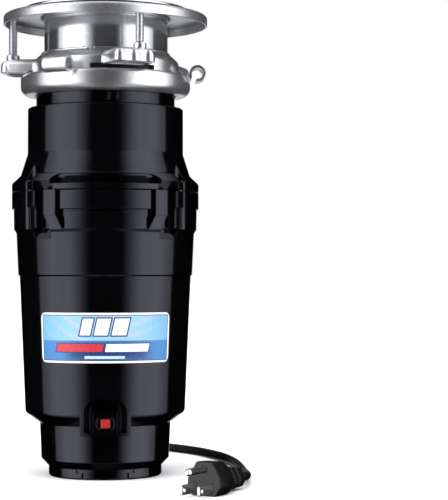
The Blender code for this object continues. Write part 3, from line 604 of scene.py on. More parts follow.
def splash_guard():
    """A rubber rim with a groove and four folded leaves that slope to a small star-shaped hole."""
    rim = reach("splash_guard")
    slope = [(30.0 - 27.0 * step / 12, 300.4 - 8.8 * step / 12) for step in range(13)]
    thick = 1.7
    outline = [
        (rim, 300.2), (rim, 303.4), (rim - 0.5, 304.0), (rim - 1.3, 304.2), (rim - 2.2, 303.6), (38.4, 302.2),
        (37.2, 302.4), (36.2, 303.6), (35.2, 304.2), (33.6, 304.2), (32.4, 303.4), (31.2, 301.4), *slope,
        *[(r, z - thick) for r, z in reversed(slope)], (38.0, 299.4)]

    def folded(angle, radius, height):
        lean = abs((angle % (pi / 2)) - pi / 4) / (pi / 4)
        share = min(1.0, max(0.0, (30.0 - radius) / 27.0))
        ridge = 3.4 * (1.0 - lean) * sin(pi * min(1.0, share * 1.15)) if radius < 30.0 else 0.0
        return radius, height + ridge
    slits, notches = bmesh.new(), bmesh.new()
    for quarter in range(4):
        wedge = [(2.0, -0.25), (27.0, -1.1), (28.4, 0.0), (27.0, 1.1), (2.0, 0.25)]
        prism(wedge, 280.0, 312.0, spin(90 * quarter), slits)
        box((35.9, -2.2, 303.0), (38.6, 2.2, 306.0), spin(45 + 90 * quarter), notches)
    guard = carved(turned(outline, 144, folded), (CUT, slits), (CUT, notches))
    piece("splash_guard", guard, "black_rubber")


def sink_stopper():
    """A plug disc with a rim groove and a mushroom knob, moulded in dark rubber."""
    outline = rounded([
        (0.0, 313.0), (37.6, 313.0, 1.2), (40.6, 315.0, 1.2), (40.6, 322.4, 0.8), (41.8, 323.8),
        (46.2, 324.0, 0.7), (46.2, 326.2, 0.9), (42.2, 326.1, 0.4), (41.4, 325.1, 0.4), (40.4, 325.2, 0.4),
        (39.6, 326.3, 0.5), (19.4, 327.6, 5.0), (13.6, 336.0, 4.0), (14.2, 343.2, 1.6), (17.5, 345.0, 0.8),
        (17.5, 349.2, 1.4), (0.0, 349.8)])
    piece("sink_stopper", turned(outline), "stopper_rubber", "stopper", about_z=True)


# ---------------------------------------------------------------- three-screw mount

LUG_R, SCREW_CIRCLE_R, SCREW_R = 73.5, 66.0, 3.3
LUG_SIDES, LUG_LOW = (-20.0, 9.6), foot("mounting_ring") + 2.4


def lug_shape(place):
    """A lug with a rounded top edge and three upright flutes on its outer face."""
    left, right = LUG_SIDES

    def outline(inset):
        far = LUG_R - 0.9 - inset
        return rounded([
            (46.4, left + inset), (far, left + inset, 6.0), (far, right - inset, 6.0), (49.2, right - inset),
            (49.2, left + 11.0)])
    levels = [(LUG_LOW, 0.4), (LUG_LOW + 0.4, 0.0), (285.4, 0.0), (287.4, 0.6), (288.8, 1.8), (289.6, 3.6)]
    flute = [(LUG_LOW + 0.3, 0.3), (LUG_LOW + 0.7, 0.0), (285.0, 0.0), (287.0, 0.7), (288.2, 2.0)]
    shapes = [stacked(outline, levels, place)]
    for across in (-15.2, -5.2, 4.8):
        shapes.append(stacked(lambda inset: circle(4.6 - inset, 24, (LUG_R - 4.6, across)), flute, place))
    return shapes


def mounting_ring():
    inner, skirt, skirt_foot, skin = SLEEVE_R + 0.5, 51.0, foot("mounting_ring"), 2.8
    outline = rounded([
        (inner, 287.6), (inner, 290.4, 0.4), (46.6, 290.6, 1.6), (skirt, 286.4, 3.4),
        (skirt, skirt_foot, 0.5), (skirt - skin, skirt_foot), (skirt - skin, 284.8)])
    steps, bosses, pockets, holes, windows = [], bmesh.new(), bmesh.new(), bmesh.new(), bmesh.new()
    left, right = LUG_SIDES[0] + 3.0, LUG_SIDES[1] - 3.0
    pocket = rounded([(54.0, left), (LUG_R - 4.0, left, 4.0), (LUG_R - 4.0, right, 4.0), (54.0, right)])
    collar = rounded([(0.0, 288.6), (4.5, 288.6), (4.5, 293.0, 0.6), (0.0, 293.0)])
    section = [(46.0, skirt_foot - 3), (53.0, skirt_foot - 3), (53.0, 281.0), (46.0, 281.0)]
    for angle in LUG_ANGLES:
        steps += [(ADD, shape) for shape in lug_shape(spin(angle))]
        collar_here = moved(turned(collar, SMALL), spin(angle, SCREW_CIRCLE_R))
        bosses = merged(bosses, collar_here)
        prism(pocket, LUG_LOW - 1.0, 286.4, spin(angle), pockets)
        prism(circle(SCREW_R + GAP, SMALL), 275.0, 296.0, spin(angle, SCREW_CIRCLE_R), holes)
        sector(section, angle - 32, angle + 20, 2.0, windows)
    steps += [(ADD, bosses), (CUT, pockets), (CUT, holes), (CUT, windows)]
    piece("mounting_ring", carved(turned(outline), *steps), "cast_metal", about_z=True)


def thread(low, high, radius, pitch=1.75, depth=1.05, sides=24, rows_a_pitch=8):
    """A threaded shank: each row of points follows the thread's own height round the axis."""
    rows, count = [], round((high - low) / pitch * rows_a_pitch)
    for number in range(count + 1):
        z, ring = low + (high - low) * number / count, []
        for side in range(sides):
            turn = (z / pitch - side / sides) % 1.0
            near_end = min(1.0, (z - low) / pitch, (high - z) / pitch)
            far = radius - depth * (1.0 - abs(2 * turn - 1.0)) * near_end - 0.5 * (1.0 - near_end)
            ring.append(polar(far, tau * side / sides, z))
        rows.append(ring)
    return loft(rows)


def mount_screws():
    for number, angle in enumerate(LUG_ANGLES, 1):
        node = f"mount_screw_{number}"
        shank = thread(foot(node), top(node), SCREW_R)
        slot_cut = box((-4.0, -0.5, foot(node) - 1.0), (4.0, 0.5, foot(node) + 1.4))
        screw = moved(carved(shank, (CUT, slot_cut)), spin(angle, SCREW_CIRCLE_R))
        piece(node, screw, "bright_steel", node, sharp=60.0)


def cushion_mount():
    low, high, widest = foot("cushion_mount"), top("cushion_mount"), reach("cushion_mount")
    outline = rounded([
        (49.0, low), (51.5, low, 0.6), (widest, 270.4, 1.4), (widest, 274.6, 1.2), (53.0, 276.8, 0.8),
        (47.7, 276.8, 0.6), (47.7, high, 0.8), (44.0, high, 0.6), (44.0, 273.0), (52.0, 273.0), (52.0, 268.9),
        (49.0, 268.9)])
    piece("cushion_mount", turned(outline, 144), "black_rubber", about_z=True)


def turn_ring():
    """The lower ring, with three ears rolled from its sheet into open tubes."""
    outer, high, inner = 59.0, 277.0, 49.0
    outline = rounded([
        (inner, TURN_LOW, 0.5), (outer, TURN_LOW, 6.0), (outer, high, 2.4), (56.2, high, 0.3),
        (56.2, 265.6, 3.4), (inner, 265.6, 0.5)])
    centre, outside, inside, half = (64.0, 279.4), 5.7, 3.9, 9.0
    curl = arc(centre, outside, 192, -100, 40) + arc(centre, inside, -100, 192, 32)
    leg = [(60.1, 276.2), (58.6, 272.0), (57.2, 270.0), (57.2, 278.2)]
    steps = []
    for angle in EAR_ANGLES:
        upright = Matrix.Rotation(radians(angle), 4, "Z") @ Matrix.Rotation(pi / 2, 4, "X")
        steps.append((ADD, prism(curl + leg, -half, half, upright)))
    piece("turn_ring", carved(turned(outline), *steps), "cast_metal", "turn_ring", about_z=True)


# ---------------------------------------------------------------- hopper housing

SCREW_BOSS_R, HOUSING_SCREW_R = 4.6, 60.8
HEAD_LOW = top("housing_screw_1") - 3.1


def hopper_housing():
    """Two neck bands, a straight wall, a flare and a wide band, with an arch cut in the flare's front."""
    low = foot("hopper_housing")
    outline = rounded([
        (0.0, low), (BODY_R, low, 0.4), (BODY_R, 201.6, 1.6), (58.9, 207.4, 3.0), (54.1, 222.4),
        (54.0, 254.3, 1.4), (48.2, 255.0, 0.5), (48.0, 269.3, 0.3), (51.3, 269.3, 0.4),
        (51.3, NECK_TOP, 0.5), (0.0, NECK_TOP)])
    bosses, recesses, holes = bmesh.new(), bmesh.new(), bmesh.new()
    for angle in SCREW_ANGLES:
        place = spin(angle, HOUSING_SCREW_R)
        prism(circle(SCREW_BOSS_R), low, HEAD_LOW - GAP, place, bosses)
        prism(circle(4.4), HEAD_LOW - GAP, 226.0, place, recesses)
        prism(circle(2.4, 16), 190.0, 210.0, place, holes)
    nozzle_x, nozzle_z = -20.0, 237.0
    nozzle = rounded([(0.0, 49.5), (10.5, 49.5), (10.5, 73.4, 0.4), (11.2, 73.9, 0.3), (11.2, 75.4, 0.5),
                      (10.2, 76.0, 0.3), (0.0, 76.0)])
    cavity = [(0.0, 190.0), (58.0, 190.0), (58.0, 199.3), (51.8, 199.3), (51.8, 250.0), (44.8, 257.0),
              (44.8, 280.0), (0.0, 280.0)]
    steps = []
    for side in (-1, 1):
        first, last = sorted((FRONT + 33.0 * side, FRONT + 49.0 * side))
        gap = [(60.0, low - 2), (72.0, low - 2), (72.0, 202.0), (63.9, 202.0)]
        steps.append((CUT, sector(gap, first, last)))
    steps += [
        (ADD, bosses),
        (ADD, moved(turned(nozzle, 48), along_y(nozzle_x, nozzle_z))),
        (CUT, front_arch(199.8, 206.6, 36.0)),
        (CUT, turned(cavity, 144)),
        (CUT, recesses),
        (CUT, holes),
        (CUT, prism(circle(8.3), 53.5, 80.0, along_y(nozzle_x, nozzle_z)))]
    for mark in (2.6, 9.6):
        steps.append((ADD, sector([(47.0, 256.6), (48.7, 256.6), (48.7, 262.0), (47.0, 262.0)],
                                      FRONT + mark - 0.7, FRONT + mark + 0.7, 0.7)))
    piece("hopper_housing", carved(turned(outline), *steps), "black_gloss", name="hopper_fine", about_z=True)


def front_arch(low, high, half):
    """The space under the flare at the front: its back wall leans inwards towards its foot."""
    rings, corner, steps = [], 4.0, 36
    for step in range(steps + 1):
        lean = -half + 2 * half * step / steps
        crown = high - 3.4 * max(0.0, (abs(lean) - half + corner * 1.6) / (corner * 1.6)) ** 2
        angle = radians(FRONT + lean)
        section = [(55.2, low), (74.0, low), (74.0, crown), (57.6, crown)]
        rings.append([polar(r, angle, z) for r, z in section])
    return loft(rings)


def screw_head(radius, low, high, recess):
    """A washer-faced hexagon head with a cross recess."""
    washer = [(0.0, low), (radius, low, 0.2), (radius, low + 0.9, 0.3), (radius - 0.6, low + 1.1),
              (0.0, low + 1.1)]
    hexagon = prism(circle(radius - 0.55, 6), low + 0.8, high - 0.3)
    crown = turned(rounded([(0.0, low), (radius - 0.9, low), (radius - 0.9, high, 0.5), (0.0, high)]), SMALL)
    cross = bmesh.new()
    for turn in (0, 90):
        box((-recess, -0.45, high - 1.1), (recess, 0.45, high + 1.0), spin(turn), cross)
    return carved(turned(rounded(washer), SMALL), (ADD, hexagon), (ADD, crown), (CUT, cross))


def housing_screws():
    for number, angle in enumerate(SCREW_ANGLES, 1):
        node = f"housing_screw_{number}"
        head = carved(screw_head(3.9, HEAD_LOW, top(node), 1.7),
                      (ADD, prism(circle(1.9, 24), foot(node), HEAD_LOW + 0.4)))
        moved(head, spin(angle, HOUSING_SCREW_R))
        piece(node, head, "bright_steel", sharp=30.0)


# ---------------------------------------------------------------- motor housing

PAD_Y, PAD_R, EAR_X, EAR_R = span("discharge_elbow")[0].y - GAP, 23.0, 27.0, 6.5
OUTLET_BORE_R, OUTLET_R = 16.5, 19.0
RELIEF_X, RELIEF_Z = middle("strain_relief").x, middle("strain_relief").z
BUTTON_Z, BUTTON_HALF = middle("reset_button").z, 3.1
WALL_TOP, WALL_FOOT = (59.5, 137.8), (55.5, 45.0)      # radius and height of the cone behind the label


def wall_radius(z):
    share = (WALL_TOP[1] - z) / (WALL_TOP[1] - WALL_FOOT[1])
    return WALL_TOP[0] + (WALL_FOOT[0] - WALL_TOP[0]) * share


def upper_band_steps(high):
    """The pressed front of the band: a deep floor with two broad panels, a rib at each side and a notch."""
    steps = [(CUT, sector([(58.6, 169.6), (72.0, 169.6), (72.0, 200.0), (58.6, 200.0)],
                                   FRONT - 47, FRONT + 47))]
    for half, outer, low, top_z in ((28.0, 64.4, 182.6, high), (25.3, 63.7, 169.0, 181.4)):
        panel = rounded([(57.4, low), (outer, low, 0.8), (outer, top_z, 0.8), (57.4, top_z)])
        steps.append((ADD, sector(panel, FRONT - half, FRONT + half)))
    for side in (-1, 1):
        rib = [(31.5 * side, 178.3), (40.3 * side, 178.3), (40.3 * side, high), (31.5 * side, high)]
        lower = [(26.7 * side, 169.0), (35.2 * side, 169.0), (40.3 * side, 179.0), (31.5 * side, 179.0)]
        steps += [(ADD, wall_block(rib, 57.4, 64.4)), (ADD, wall_block(lower, 57.4, 64.2))]
        notch = [(36.3 * side, 163.3), (51.0 * side, 163.3), (51.0 * side, 170.2), (36.3 * side, 170.2)]
        steps.append((CUT, wall_block(notch, [60.8, 60.8, 58.4, 58.4], 72.0)))
    return steps


def motor_housing():
    high, low = top("motor_housing"), BASE_TOP + 0.2
    outline = rounded([
        (0.0, high), (BODY_R, high, 0.4), (BODY_R, 184.4, 0.3), (63.7, 183.6, 0.3), (63.5, 170.0, 0.4),
        (61.8, 167.4, 0.5), (60.5, 138.8, 0.4), WALL_TOP, WALL_FOOT, (54.6, 43.4, 0.5), (45.4, 36.6, 1.2),
        (44.3, 12.2, 0.6), (39.9, low), (0.0, low)])
    columns, column_holes, pads, pad_holes = (bmesh.new() for _ in range(4))
    for angle in SCREW_ANGLES:
        place = spin(angle, HOUSING_SCREW_R)
        prism(circle(SCREW_BOSS_R), 169.5, high, place, columns)
        prism(circle(2.4, 16), 178.0, 200.0, place, column_holes)
    for side in (-1, 1):
        prism(circle(EAR_R), 48.0, PAD_Y, along_y(EAR_X * side, OUTLET_Z), pads)
        prism(circle(3.1, 24), 60.0, 72.0, along_y(EAR_X * side, OUTLET_Z), pad_holes)
    cavity = [
        (0.0, 199.0), (58.0, 199.0), (58.0, 194.5), (52.0, 194.5), (52.0, 191.0), (56.8, 186.0),
        (56.8, 170.0), (58.2, 158.0), (58.0, 147.0), (55.6, 147.0), (55.6, 130.0), (52.6, 47.0),
        (42.4, 38.4), (41.6, 13.0), (36.6, 10.0), (36.6, 4.0), (0.0, 4.0)]
    arch = rounded([(-14.5, 33.0, 2.0), (14.5, 33.0, 2.0), (14.5, 55.5, 9.0), (-14.5, 55.5, 9.0)], 8)
    pocket = prism(arch, -70.0, -46.0, along_y())
    outlet, relief, front = along_y(0.0, OUTLET_Z), along_y(RELIEF_X, RELIEF_Z), along_y()
    hole = BUTTON_HALF + GAP
    steps = [
        *upper_band_steps(high),
        (ADD, columns),
        (ADD, prism(circle(PAD_R, 64), 40.0, PAD_Y, outlet)),
        (ADD, pads),
        (ADD, prism(circle(9.0, 48), 20.0, 44.0, relief)),
        (CUT, turned(cavity, 144)),
        (CUT, column_holes),
        (CUT, prism(circle(OUTLET_BORE_R, 64), 50.0, 75.0, outlet)),
        (CUT, pad_holes),
        (CUT, prism(circle(6.3, 48), 25.0, 50.0, relief)),
        (ADD, box((-17.0, -53.0, 31.0), (17.0, -43.5, 58.0))),
        (CUT, pocket),
        (ADD, box((-8.1, -51.4, 32.0), (8.1, -45.0, 47.0))),
        *[(ADD, prism(boot(side), -52.2, -51.0, front)) for side in (-1, 1)],
        (CUT, box((-hole, -60.0, BUTTON_Z - hole), (hole, -40.0, BUTTON_Z + hole)))]
    piece("motor_housing", carved(turned(outline), *steps), "black_gloss", about_z=True)


def boot(side):
    """A thin curved rib beside the reset button, like half of a bracket."""
    bow = arc((0.0, BUTTON_Z), 5.6, -50, 50, 12)
    outline = bow + [Vector((p.x + 0.9, p.y)) for p in reversed(bow)]
    outline = [(-side * p.x, p.y) for p in outline]
    return outline if side > 0 else outline[::-1]


def reset_button():
    low, high = span("reset_button")
    half = BUTTON_HALF
    rings = []
    for y, inset in ((high.y, 0.0), (low.y + 0.9, 0.0), (low.y + 0.35, 0.18), (low.y + 0.05, 0.6),
                     (low.y, 1.1)):
        corners = rounded([(sx * (half - inset), BUTTON_Z + sz * (half - inset), 0.5)
                           for sx, sz in ((-1, -1), (1, -1), (1, 1), (-1, 1))])
        rings.append([Vector((p.x, y, p.y)) for p in corners])
    piece("reset_button", loft(rings), "red_plastic", "reset_button", sharp=40.0)


def base_cover():
    """The foot ring with its drain slits, notches under the wall and a middle boss."""
    outline = rounded([
        (0.0, 0.0), (11.0, 0.0, 0.4), (12.0, 2.6, 0.4), (34.8, 2.6, 0.4), (35.4, 0.0, 0.3),
        (BASE_R - 0.9, 0.0, 0.5), (BASE_R, 1.1, 0.6), (BASE_R, BASE_TOP, 0.4), (37.4, BASE_TOP, 0.2),
        (36.2, 6.2), (36.2, 9.0, 0.3), (33.8, 9.0, 0.3), (33.8, 5.9), (0.0, 5.9)])
    slits, notches = bmesh.new(), bmesh.new()
    for turn in (-23, 23, 157, 203):
        place = spin(FRONT + turn)
        box((37.6, -0.8, -1.0), (45.0, 0.8, 4.6), place, slits)
        first, last = (2.6, 4.8) if turn in (23, 157) else (-4.8, -2.6)
        box((38.0, first, 4.4), (45.0, last, 9.5), place, notches)
    cover = carved(turned(outline), (CUT, slits), (CUT, notches))
    piece("base_cover", cover, "black_gloss", about_z=True)


# ---------------------------------------------------------------- label

LABEL_LOW, LABEL_HIGH, LABEL_HALF = foot("label_plate"), top("label_plate"), 46.9
LABEL_R = wall_radius(97.0)
WHITE, RED = (0.84, 0.85, 0.86), (0.55, 0.035, 0.05)
PALE_BLUE, LILAC, SKY = (0.27, 0.52, 0.76), (0.44, 0.50, 0.78), (0.12, 0.38, 0.68)
MID_BLUE, DEEP_BLUE = (0.040, 0.20, 0.47), (0.012, 0.035, 0.14)


def label_finish():
    """A printed film: a white rim, a pale upper field with arcs, a darker lower field and plain bars."""
    made = bpy.data.materials.new("label")
    made.use_nodes = True
    tree = made.node_tree
    work, step = partial(worked, tree), partial(ramp, tree)
    shader = tree.nodes["Principled BSDF"]
    place = add(tree, "TexCoord").outputs["Object"]
    parts = add(tree, "SeparateXYZ", {0: place}).outputs
    ahead = work("MULTIPLY", parts["Y"], -1.0)
    round_mm = work("MULTIPLY", work("ARCTAN2", parts["X"], ahead), LABEL_R)
    high_mm = work("SUBTRACT", work("MULTIPLY", parts["Z"], 1.0 / MM), LABEL_LOW)
    half, tall = radians(LABEL_HALF) * LABEL_R, LABEL_HIGH - LABEL_LOW

    def bar(low, high, left, right, lean=0.0, soft=0.12):
        """1 inside a bar between two heights and two places along the label, leaning to the right."""
        across = work("SUBTRACT", round_mm, work("MULTIPLY", high_mm, lean))
        shift = (low + high) / 2 * lean
        return product(
            tree,
            step(across, left - shift - soft, left - shift + soft, 0.0, 1.0),
            step(across, right - shift - soft, right - shift + soft, 1.0, 0.0),
            step(high_mm, low - soft, low + soft, 0.0, 1.0),
            step(high_mm, high - soft, high + soft, 1.0, 0.0))

    def painted(under, mask, colour):
        colour = colour if isinstance(colour, bpy.types.NodeSocket) else (*colour, 1.0)
        mix = add(tree, "Mix", {0: mask, 7: colour}, data_type="RGBA")
        if isinstance(under, bpy.types.NodeSocket):
            tree.links.new(under, mix.inputs[6])
        else:
            mix.inputs[6].default_value = (*under, 1.0)
        return mix.outputs[2]

    centre_x = work("SUBTRACT", round_mm, 9.0)
    centre_z = work("SUBTRACT", high_mm, 46.0)
    squared = work("ADD", work("MULTIPLY", centre_x, centre_x),
                   work("MULTIPLY", work("MULTIPLY", centre_z, centre_z), 2.4))
    swirl = work("SINE", work("MULTIPLY", work("SQRT", squared), 0.62))
    colour = painted(PALE_BLUE, step(swirl, -0.2, 0.9, 0.0, 0.75), LILAC)
    colour = painted(colour, step(work("ABSOLUTE", round_mm), 16.0, 46.0, 0.0, 0.8), SKY)
    lower = painted(MID_BLUE, bar(1.0, 12.0, -26.0, 30.0, 0.0, 7.0), DEEP_BLUE)
    colour = painted(colour, step(high_mm, 14.6, 15.4, 1.0, 0.0), lower)
    for left, right in ((-16.0, -9.0), (-6.4, 2.6), (5.2, 15.0)):
        colour = painted(colour, bar(17.6, 30.6, left - 0.9, right + 0.9, 0.22), DEEP_BLUE)
        colour = painted(colour, bar(18.5, 29.7, left, right, 0.22), WHITE)
    for left, right, tint in ((-34.0, -1.6, RED), (0.2, 30.0, WHITE)):
        colour = painted(colour, bar(6.9, 13.4, left - 0.7, right + 0.7, 0.22), DEEP_BLUE)
        colour = painted(colour, bar(7.5, 12.8, left, right, 0.22), tint)
    colour = painted(colour, bar(2.9, 4.7, -14.0, 13.0, 0.0), (0.55, 0.66, 0.80))
    inner_field = bar(1.9, tall - 1.9, -half + 1.9, half - 1.9, 0.0, 0.15)
    colour = painted(DEEP_BLUE, inner_field, colour)
    colour = painted(WHITE, bar(1.35, tall - 1.35, -half + 1.35, half - 1.35, 0.0, 0.12), colour)
    speckle = add(tree, "TexNoise", {"Vector": place, "Scale": 900.0, "Detail": 4.0}).outputs[0]
    colour = painted(colour, step(speckle, 0.45, 0.8, 0.0, 0.05), DEEP_BLUE)
    tree.links.new(colour, shader.inputs["Base Color"])
    tree.links.new(step(speckle, 0.3, 0.7, 0.20, 0.34), shader.inputs["Roughness"])
    ripple = add(tree, "TexNoise", {"Vector": place, "Scale": 70.0, "Detail": 2.0}).outputs[0]
    bump = add(tree, "Bump", {"Height": ripple, "Distance": 0.03 * MM, "Strength": 1.0})
    tree.links.new(bump.outputs[0], shader.inputs["Normal"])
    return made


def label_plate():
    """A thin film with round corners, bent round the cone of the wall."""
    half, corner, rows, steps = LABEL_HALF, 3.6, 14, 64
    reach_mm = radians(half) * LABEL_R
    rings = []
    for row in range(rows + 1):
        share = 0.5 - 0.5 * cos(pi * row / rows)
        z = LABEL_LOW + (LABEL_HIGH - LABEL_LOW) * share
        near = max(0.0, corner - min(z - LABEL_LOW, LABEL_HIGH - z))
        pull = corner - (corner ** 2 - near ** 2) ** 0.5
        limit = half * (1 - pull / reach_mm)
        ring = []
        for side, lift in ((-1, 0.74), (1, 0.36)):
            for step in range(steps + 1):
                angle = radians(FRONT + side * (limit - 2 * limit * step / steps))
                far = wall_radius(z) + lift
                ring.append(polar(far, angle, z))
        rings.append(ring)
    piece("label_plate", loft(rings), "label", name="label_fine", sharp=50.0)


# ---------------------------------------------------------------- discharge outlet

def discharge_elbow():
    """A rubber elbow with a flange, a bead round its foot and an open bore."""
    bend_r, bend_y, foot_z, start = 26.0, 80.0, foot("discharge_elbow"), PAD_Y + GAP
    places = [(start, PAD_R - 0.4), (start + 0.4, PAD_R), (start + 3.4, PAD_R), (start + 3.8, PAD_R - 0.4),
              (start + 3.8, OUTLET_R + 0.1), (start + 4.2, OUTLET_R)]
    outer = [(Vector((0, y, OUTLET_Z)), Vector((0, 1, 0)), r) for y, r in places]
    bend = []
    for step in range(25):
        angle = pi / 2 * step / 24
        at = Vector((0, bend_y + bend_r * sin(angle), OUTLET_Z - bend_r * (1 - cos(angle))))
        bend.append((at, Vector((0, cos(angle), -sin(angle)))))
    down = Vector((0, 0, -1))
    end = Vector((0, bend_y + bend_r, foot_z))
    tail = [(end + Vector((0, 0, h)), down, r) for h, r in
            ((13.0, -0.9), (12.2, -0.9), (11.6, -0.5), (3.4, -0.5), (2.6, 0.0), (0.4, 0.0), (0.0, -0.4))]
    outer += [(at, way, OUTLET_R - 0.9) for at, way in bend]
    outer += [(at, way, OUTLET_R + r) for at, way, r in tail]
    inner = [(end, down, OUTLET_BORE_R + 0.3)] + [(end - down * 0.4, down, OUTLET_BORE_R)]
    inner += [(at, way, OUTLET_BORE_R) for at, way in reversed(bend)]
    inner += [(Vector((0, start, OUTLET_Z)), Vector((0, 1, 0)), OUTLET_BORE_R)]
    side, sides, bm, rows = Vector((1, 0, 0)), 64, bmesh.new(), []
    for at, way, r in outer + inner:
        up = side.cross(way)
        rows.append([bm.verts.new(at + side * x + up * y) for x, y in circle(r, sides)])
    for before, after in zip(rows, rows[1:] + rows[:1]):
        for index in range(sides):
            other = (index + 1) % sides
            bm.faces.new([before[index], before[other], after[other], after[index]])
    piece("discharge_elbow", bm, "black_rubber")


def elbow_flange():
    """The oval steel plate that clamps the elbow, with a drawn lip round its bore, and its two screws."""
    low, high = span("elbow_flange")
    place = along_y(0.0, OUTLET_Z)
    levels = [(low.y, 0.4), (low.y + 0.3, 0.0), (high.y - 0.7, 0.0), (high.y - 0.2, 0.25), (high.y, 0.8)]

    def oval(inset):
        return [((34.5 - inset) * x, (24.5 - inset) * y) for x, y in circle(1.0, 96)]
    holes = bmesh.new()
    for side in (-1, 1):
        prism(circle(3.1, 24), low.y - 5, high.y + 5, along_y(EAR_X * side, OUTLET_Z), holes)
    bore = prism(circle(OUTLET_R + 0.8, 64), low.y - 5, high.y + 5, place)
    plate = carved(stacked(oval, levels, place), (CUT, bore), (CUT, holes))
    piece("elbow_flange", plate, "satin_steel")
    for number, side in enumerate((-1, 1), 1):
        node = f"elbow_screw_{number}"
        ends = span(node)
        head = carved(screw_head(5.4, ends[1].y - 3.6, ends[1].y, 2.4),
                      (ADD, prism(circle(2.7, 24), ends[0].y, ends[1].y - 3.0)))
        moved(head, along_y(EAR_X * side, OUTLET_Z))
        piece(node, head, "bright_steel", sharp=30.0)


# ---------------------------------------------------------------- cord and plug

CORD_R, EXIT_Y = 3.1, 66.0
COIL_CENTRE, COIL_R, COIL_TURNS, COIL_PITCH, COIL_STEPS = (-4.0, 134.0), 36.0, 2.5, 6.6, 48
PLUG_FACE, PLUG_HEADING, PLUG_LENGTH, TAIL_Z = (61.5, -127.0), 236.0, 43.0, 8.2
BLADES, BLADE_Z, GROUND_Z = (6.35, -6.35), 5.0, 16.6


def strain_relief():
    """A tapered rubber sleeve with a collar and ring grooves, so that it bends with the cord."""
    start, end = 48.0, span("strain_relief")[1].y
    sleeve = []
    for step in range(61):
        share = step / 60
        groove = 0.55 * max(0.0, sin(tau * 5.5 * share)) if 0.08 < share < 0.92 else 0.0
        sleeve.append((6.2 - 2.2 * share - groove, start + (end - 0.4 - start) * share))
    outline = [(CORD_R - 0.6, 31.0), (6.0, 31.0), (6.0, 44.3), (7.8, 44.3), (8.2, 44.7), (8.2, 46.6),
               (7.8, 47.0), (6.4, 47.2)] + sleeve + [(3.7, end), (CORD_R - 0.6, end)]
    made = moved(turned(outline, 48), along_y(RELIEF_X, RELIEF_Z))
    return piece("strain_relief", made, "black_rubber")


def smooth_route(route, spacing):
    """Points at an even spacing along a smooth curve through the route's points."""
    knots = [Vector(point) for point in route]
    knots = [2 * knots[0] - knots[1]] + knots + [2 * knots[-1] - knots[-2]]
    fine = []
    for a, b, c, d in zip(knots, knots[1:], knots[2:], knots[3:]):
        for step in range(20):
            t = step / 20
            fine.append(0.5 * (2 * b + (c - a) * t + (2 * a - 5 * b + 4 * c - d) * t * t
                               + (3 * b - a - 3 * c + d) * t ** 3))
    fine.append(knots[-2])
    length = sum((after - before).length for before, after in zip(fine, fine[1:]))
    count = max(2, round(length / spacing))
    points, walked, wanted = [fine[0]], 0.0, length / count
    for before, after in zip(fine, fine[1:]):
        stretch = (after - before).length
        while walked + stretch >= wanted - 1e-6 and len(points) < count:
            points.append(before.lerp(after, (wanted - walked) / stretch))
            wanted += length / count
        walked += stretch
    return points + [fine[-1]]


def plug_frame():
    """The plug's face centre on the floor; its own X runs out of the face, along the blades."""
    return Matrix.Translation((*PLUG_FACE, 0)) @ Matrix.Rotation(radians(PLUG_HEADING), 4, "Z")


def cord_route():
    """The whole cord: out of the strain relief, round its coil behind the body, then forward to the plug."""
    x, y = COIL_CENTRE
    low = CORD_R + 0.1
    high = low + COIL_TURNS * COIL_PITCH
    lead = [
        (RELIEF_X, 62.0, RELIEF_Z), (RELIEF_X, 66.3, RELIEF_Z), (RELIEF_X, 70.5, RELIEF_Z),
        (22.4, 79.4, RELIEF_Z - 0.1), (17.6, 87.6, RELIEF_Z - 0.2), (11.2, 93.6, RELIEF_Z - 0.3),
        (4.0, 97.0, high), (x, y - COIL_R, high), (x - 5.0, y - COIL_R + 0.35, high - 0.15)]
    points = smooth_route(lead, 3.0)[:-2]
    steps = round(COIL_TURNS * COIL_STEPS)
    for step in range(1, steps + 1):
        turns = step / COIL_STEPS
        angle = radians(FRONT) - tau * turns
        points.append(Vector((x + COIL_R * cos(angle), y + COIL_R * sin(angle), high - COIL_PITCH * turns)))
    behind, rear = (plug_frame() @ Vector((-PLUG_LENGTH - back, 0, TAIL_Z)) for back in (9.0, -2.0))
    run = [
        (x, y + COIL_R, low), (8.0, y + COIL_R, low), (19.0, y + COIL_R, low), (33.0, 168.0, low),
        (46.5, 158.5, low), (58.5, 143.0, low), (72.0, 121.0, low), (83.5, 92.0, low), (90.0, 66.0, low),
        (93.4, 38.0, low), (94.8, 6.0, low), (95.0, -25.0, low), (94.4, -54.0, low + 1.6),
        (behind.x, behind.y, behind.z - 0.6), tuple(rear)]
    return points + smooth_route(run, 3.5)[1:]


def cord():
    points = cord_route()
    made = wire("cord_fine", points, CORD_R, "black_cord", "cord_lead", "cord_coil", "cord_run")
    return made


def plug_section(x, scale, low, high, soft):
    """One cross-section of the grip: narrow at the top, widest above the blades, its corners rounded."""
    corners = [(8.5, 0.0), (12.3, 0.28), (11.8, 0.51), (5.5, 1.0)]
    corners += [(-half, share) for half, share in reversed(corners)]
    at = [(half * scale, low + (high - low) * share, soft * scale) for half, share in corners]
    return [Vector((x, p.x, p.y)) for p in rounded(at, 3)]


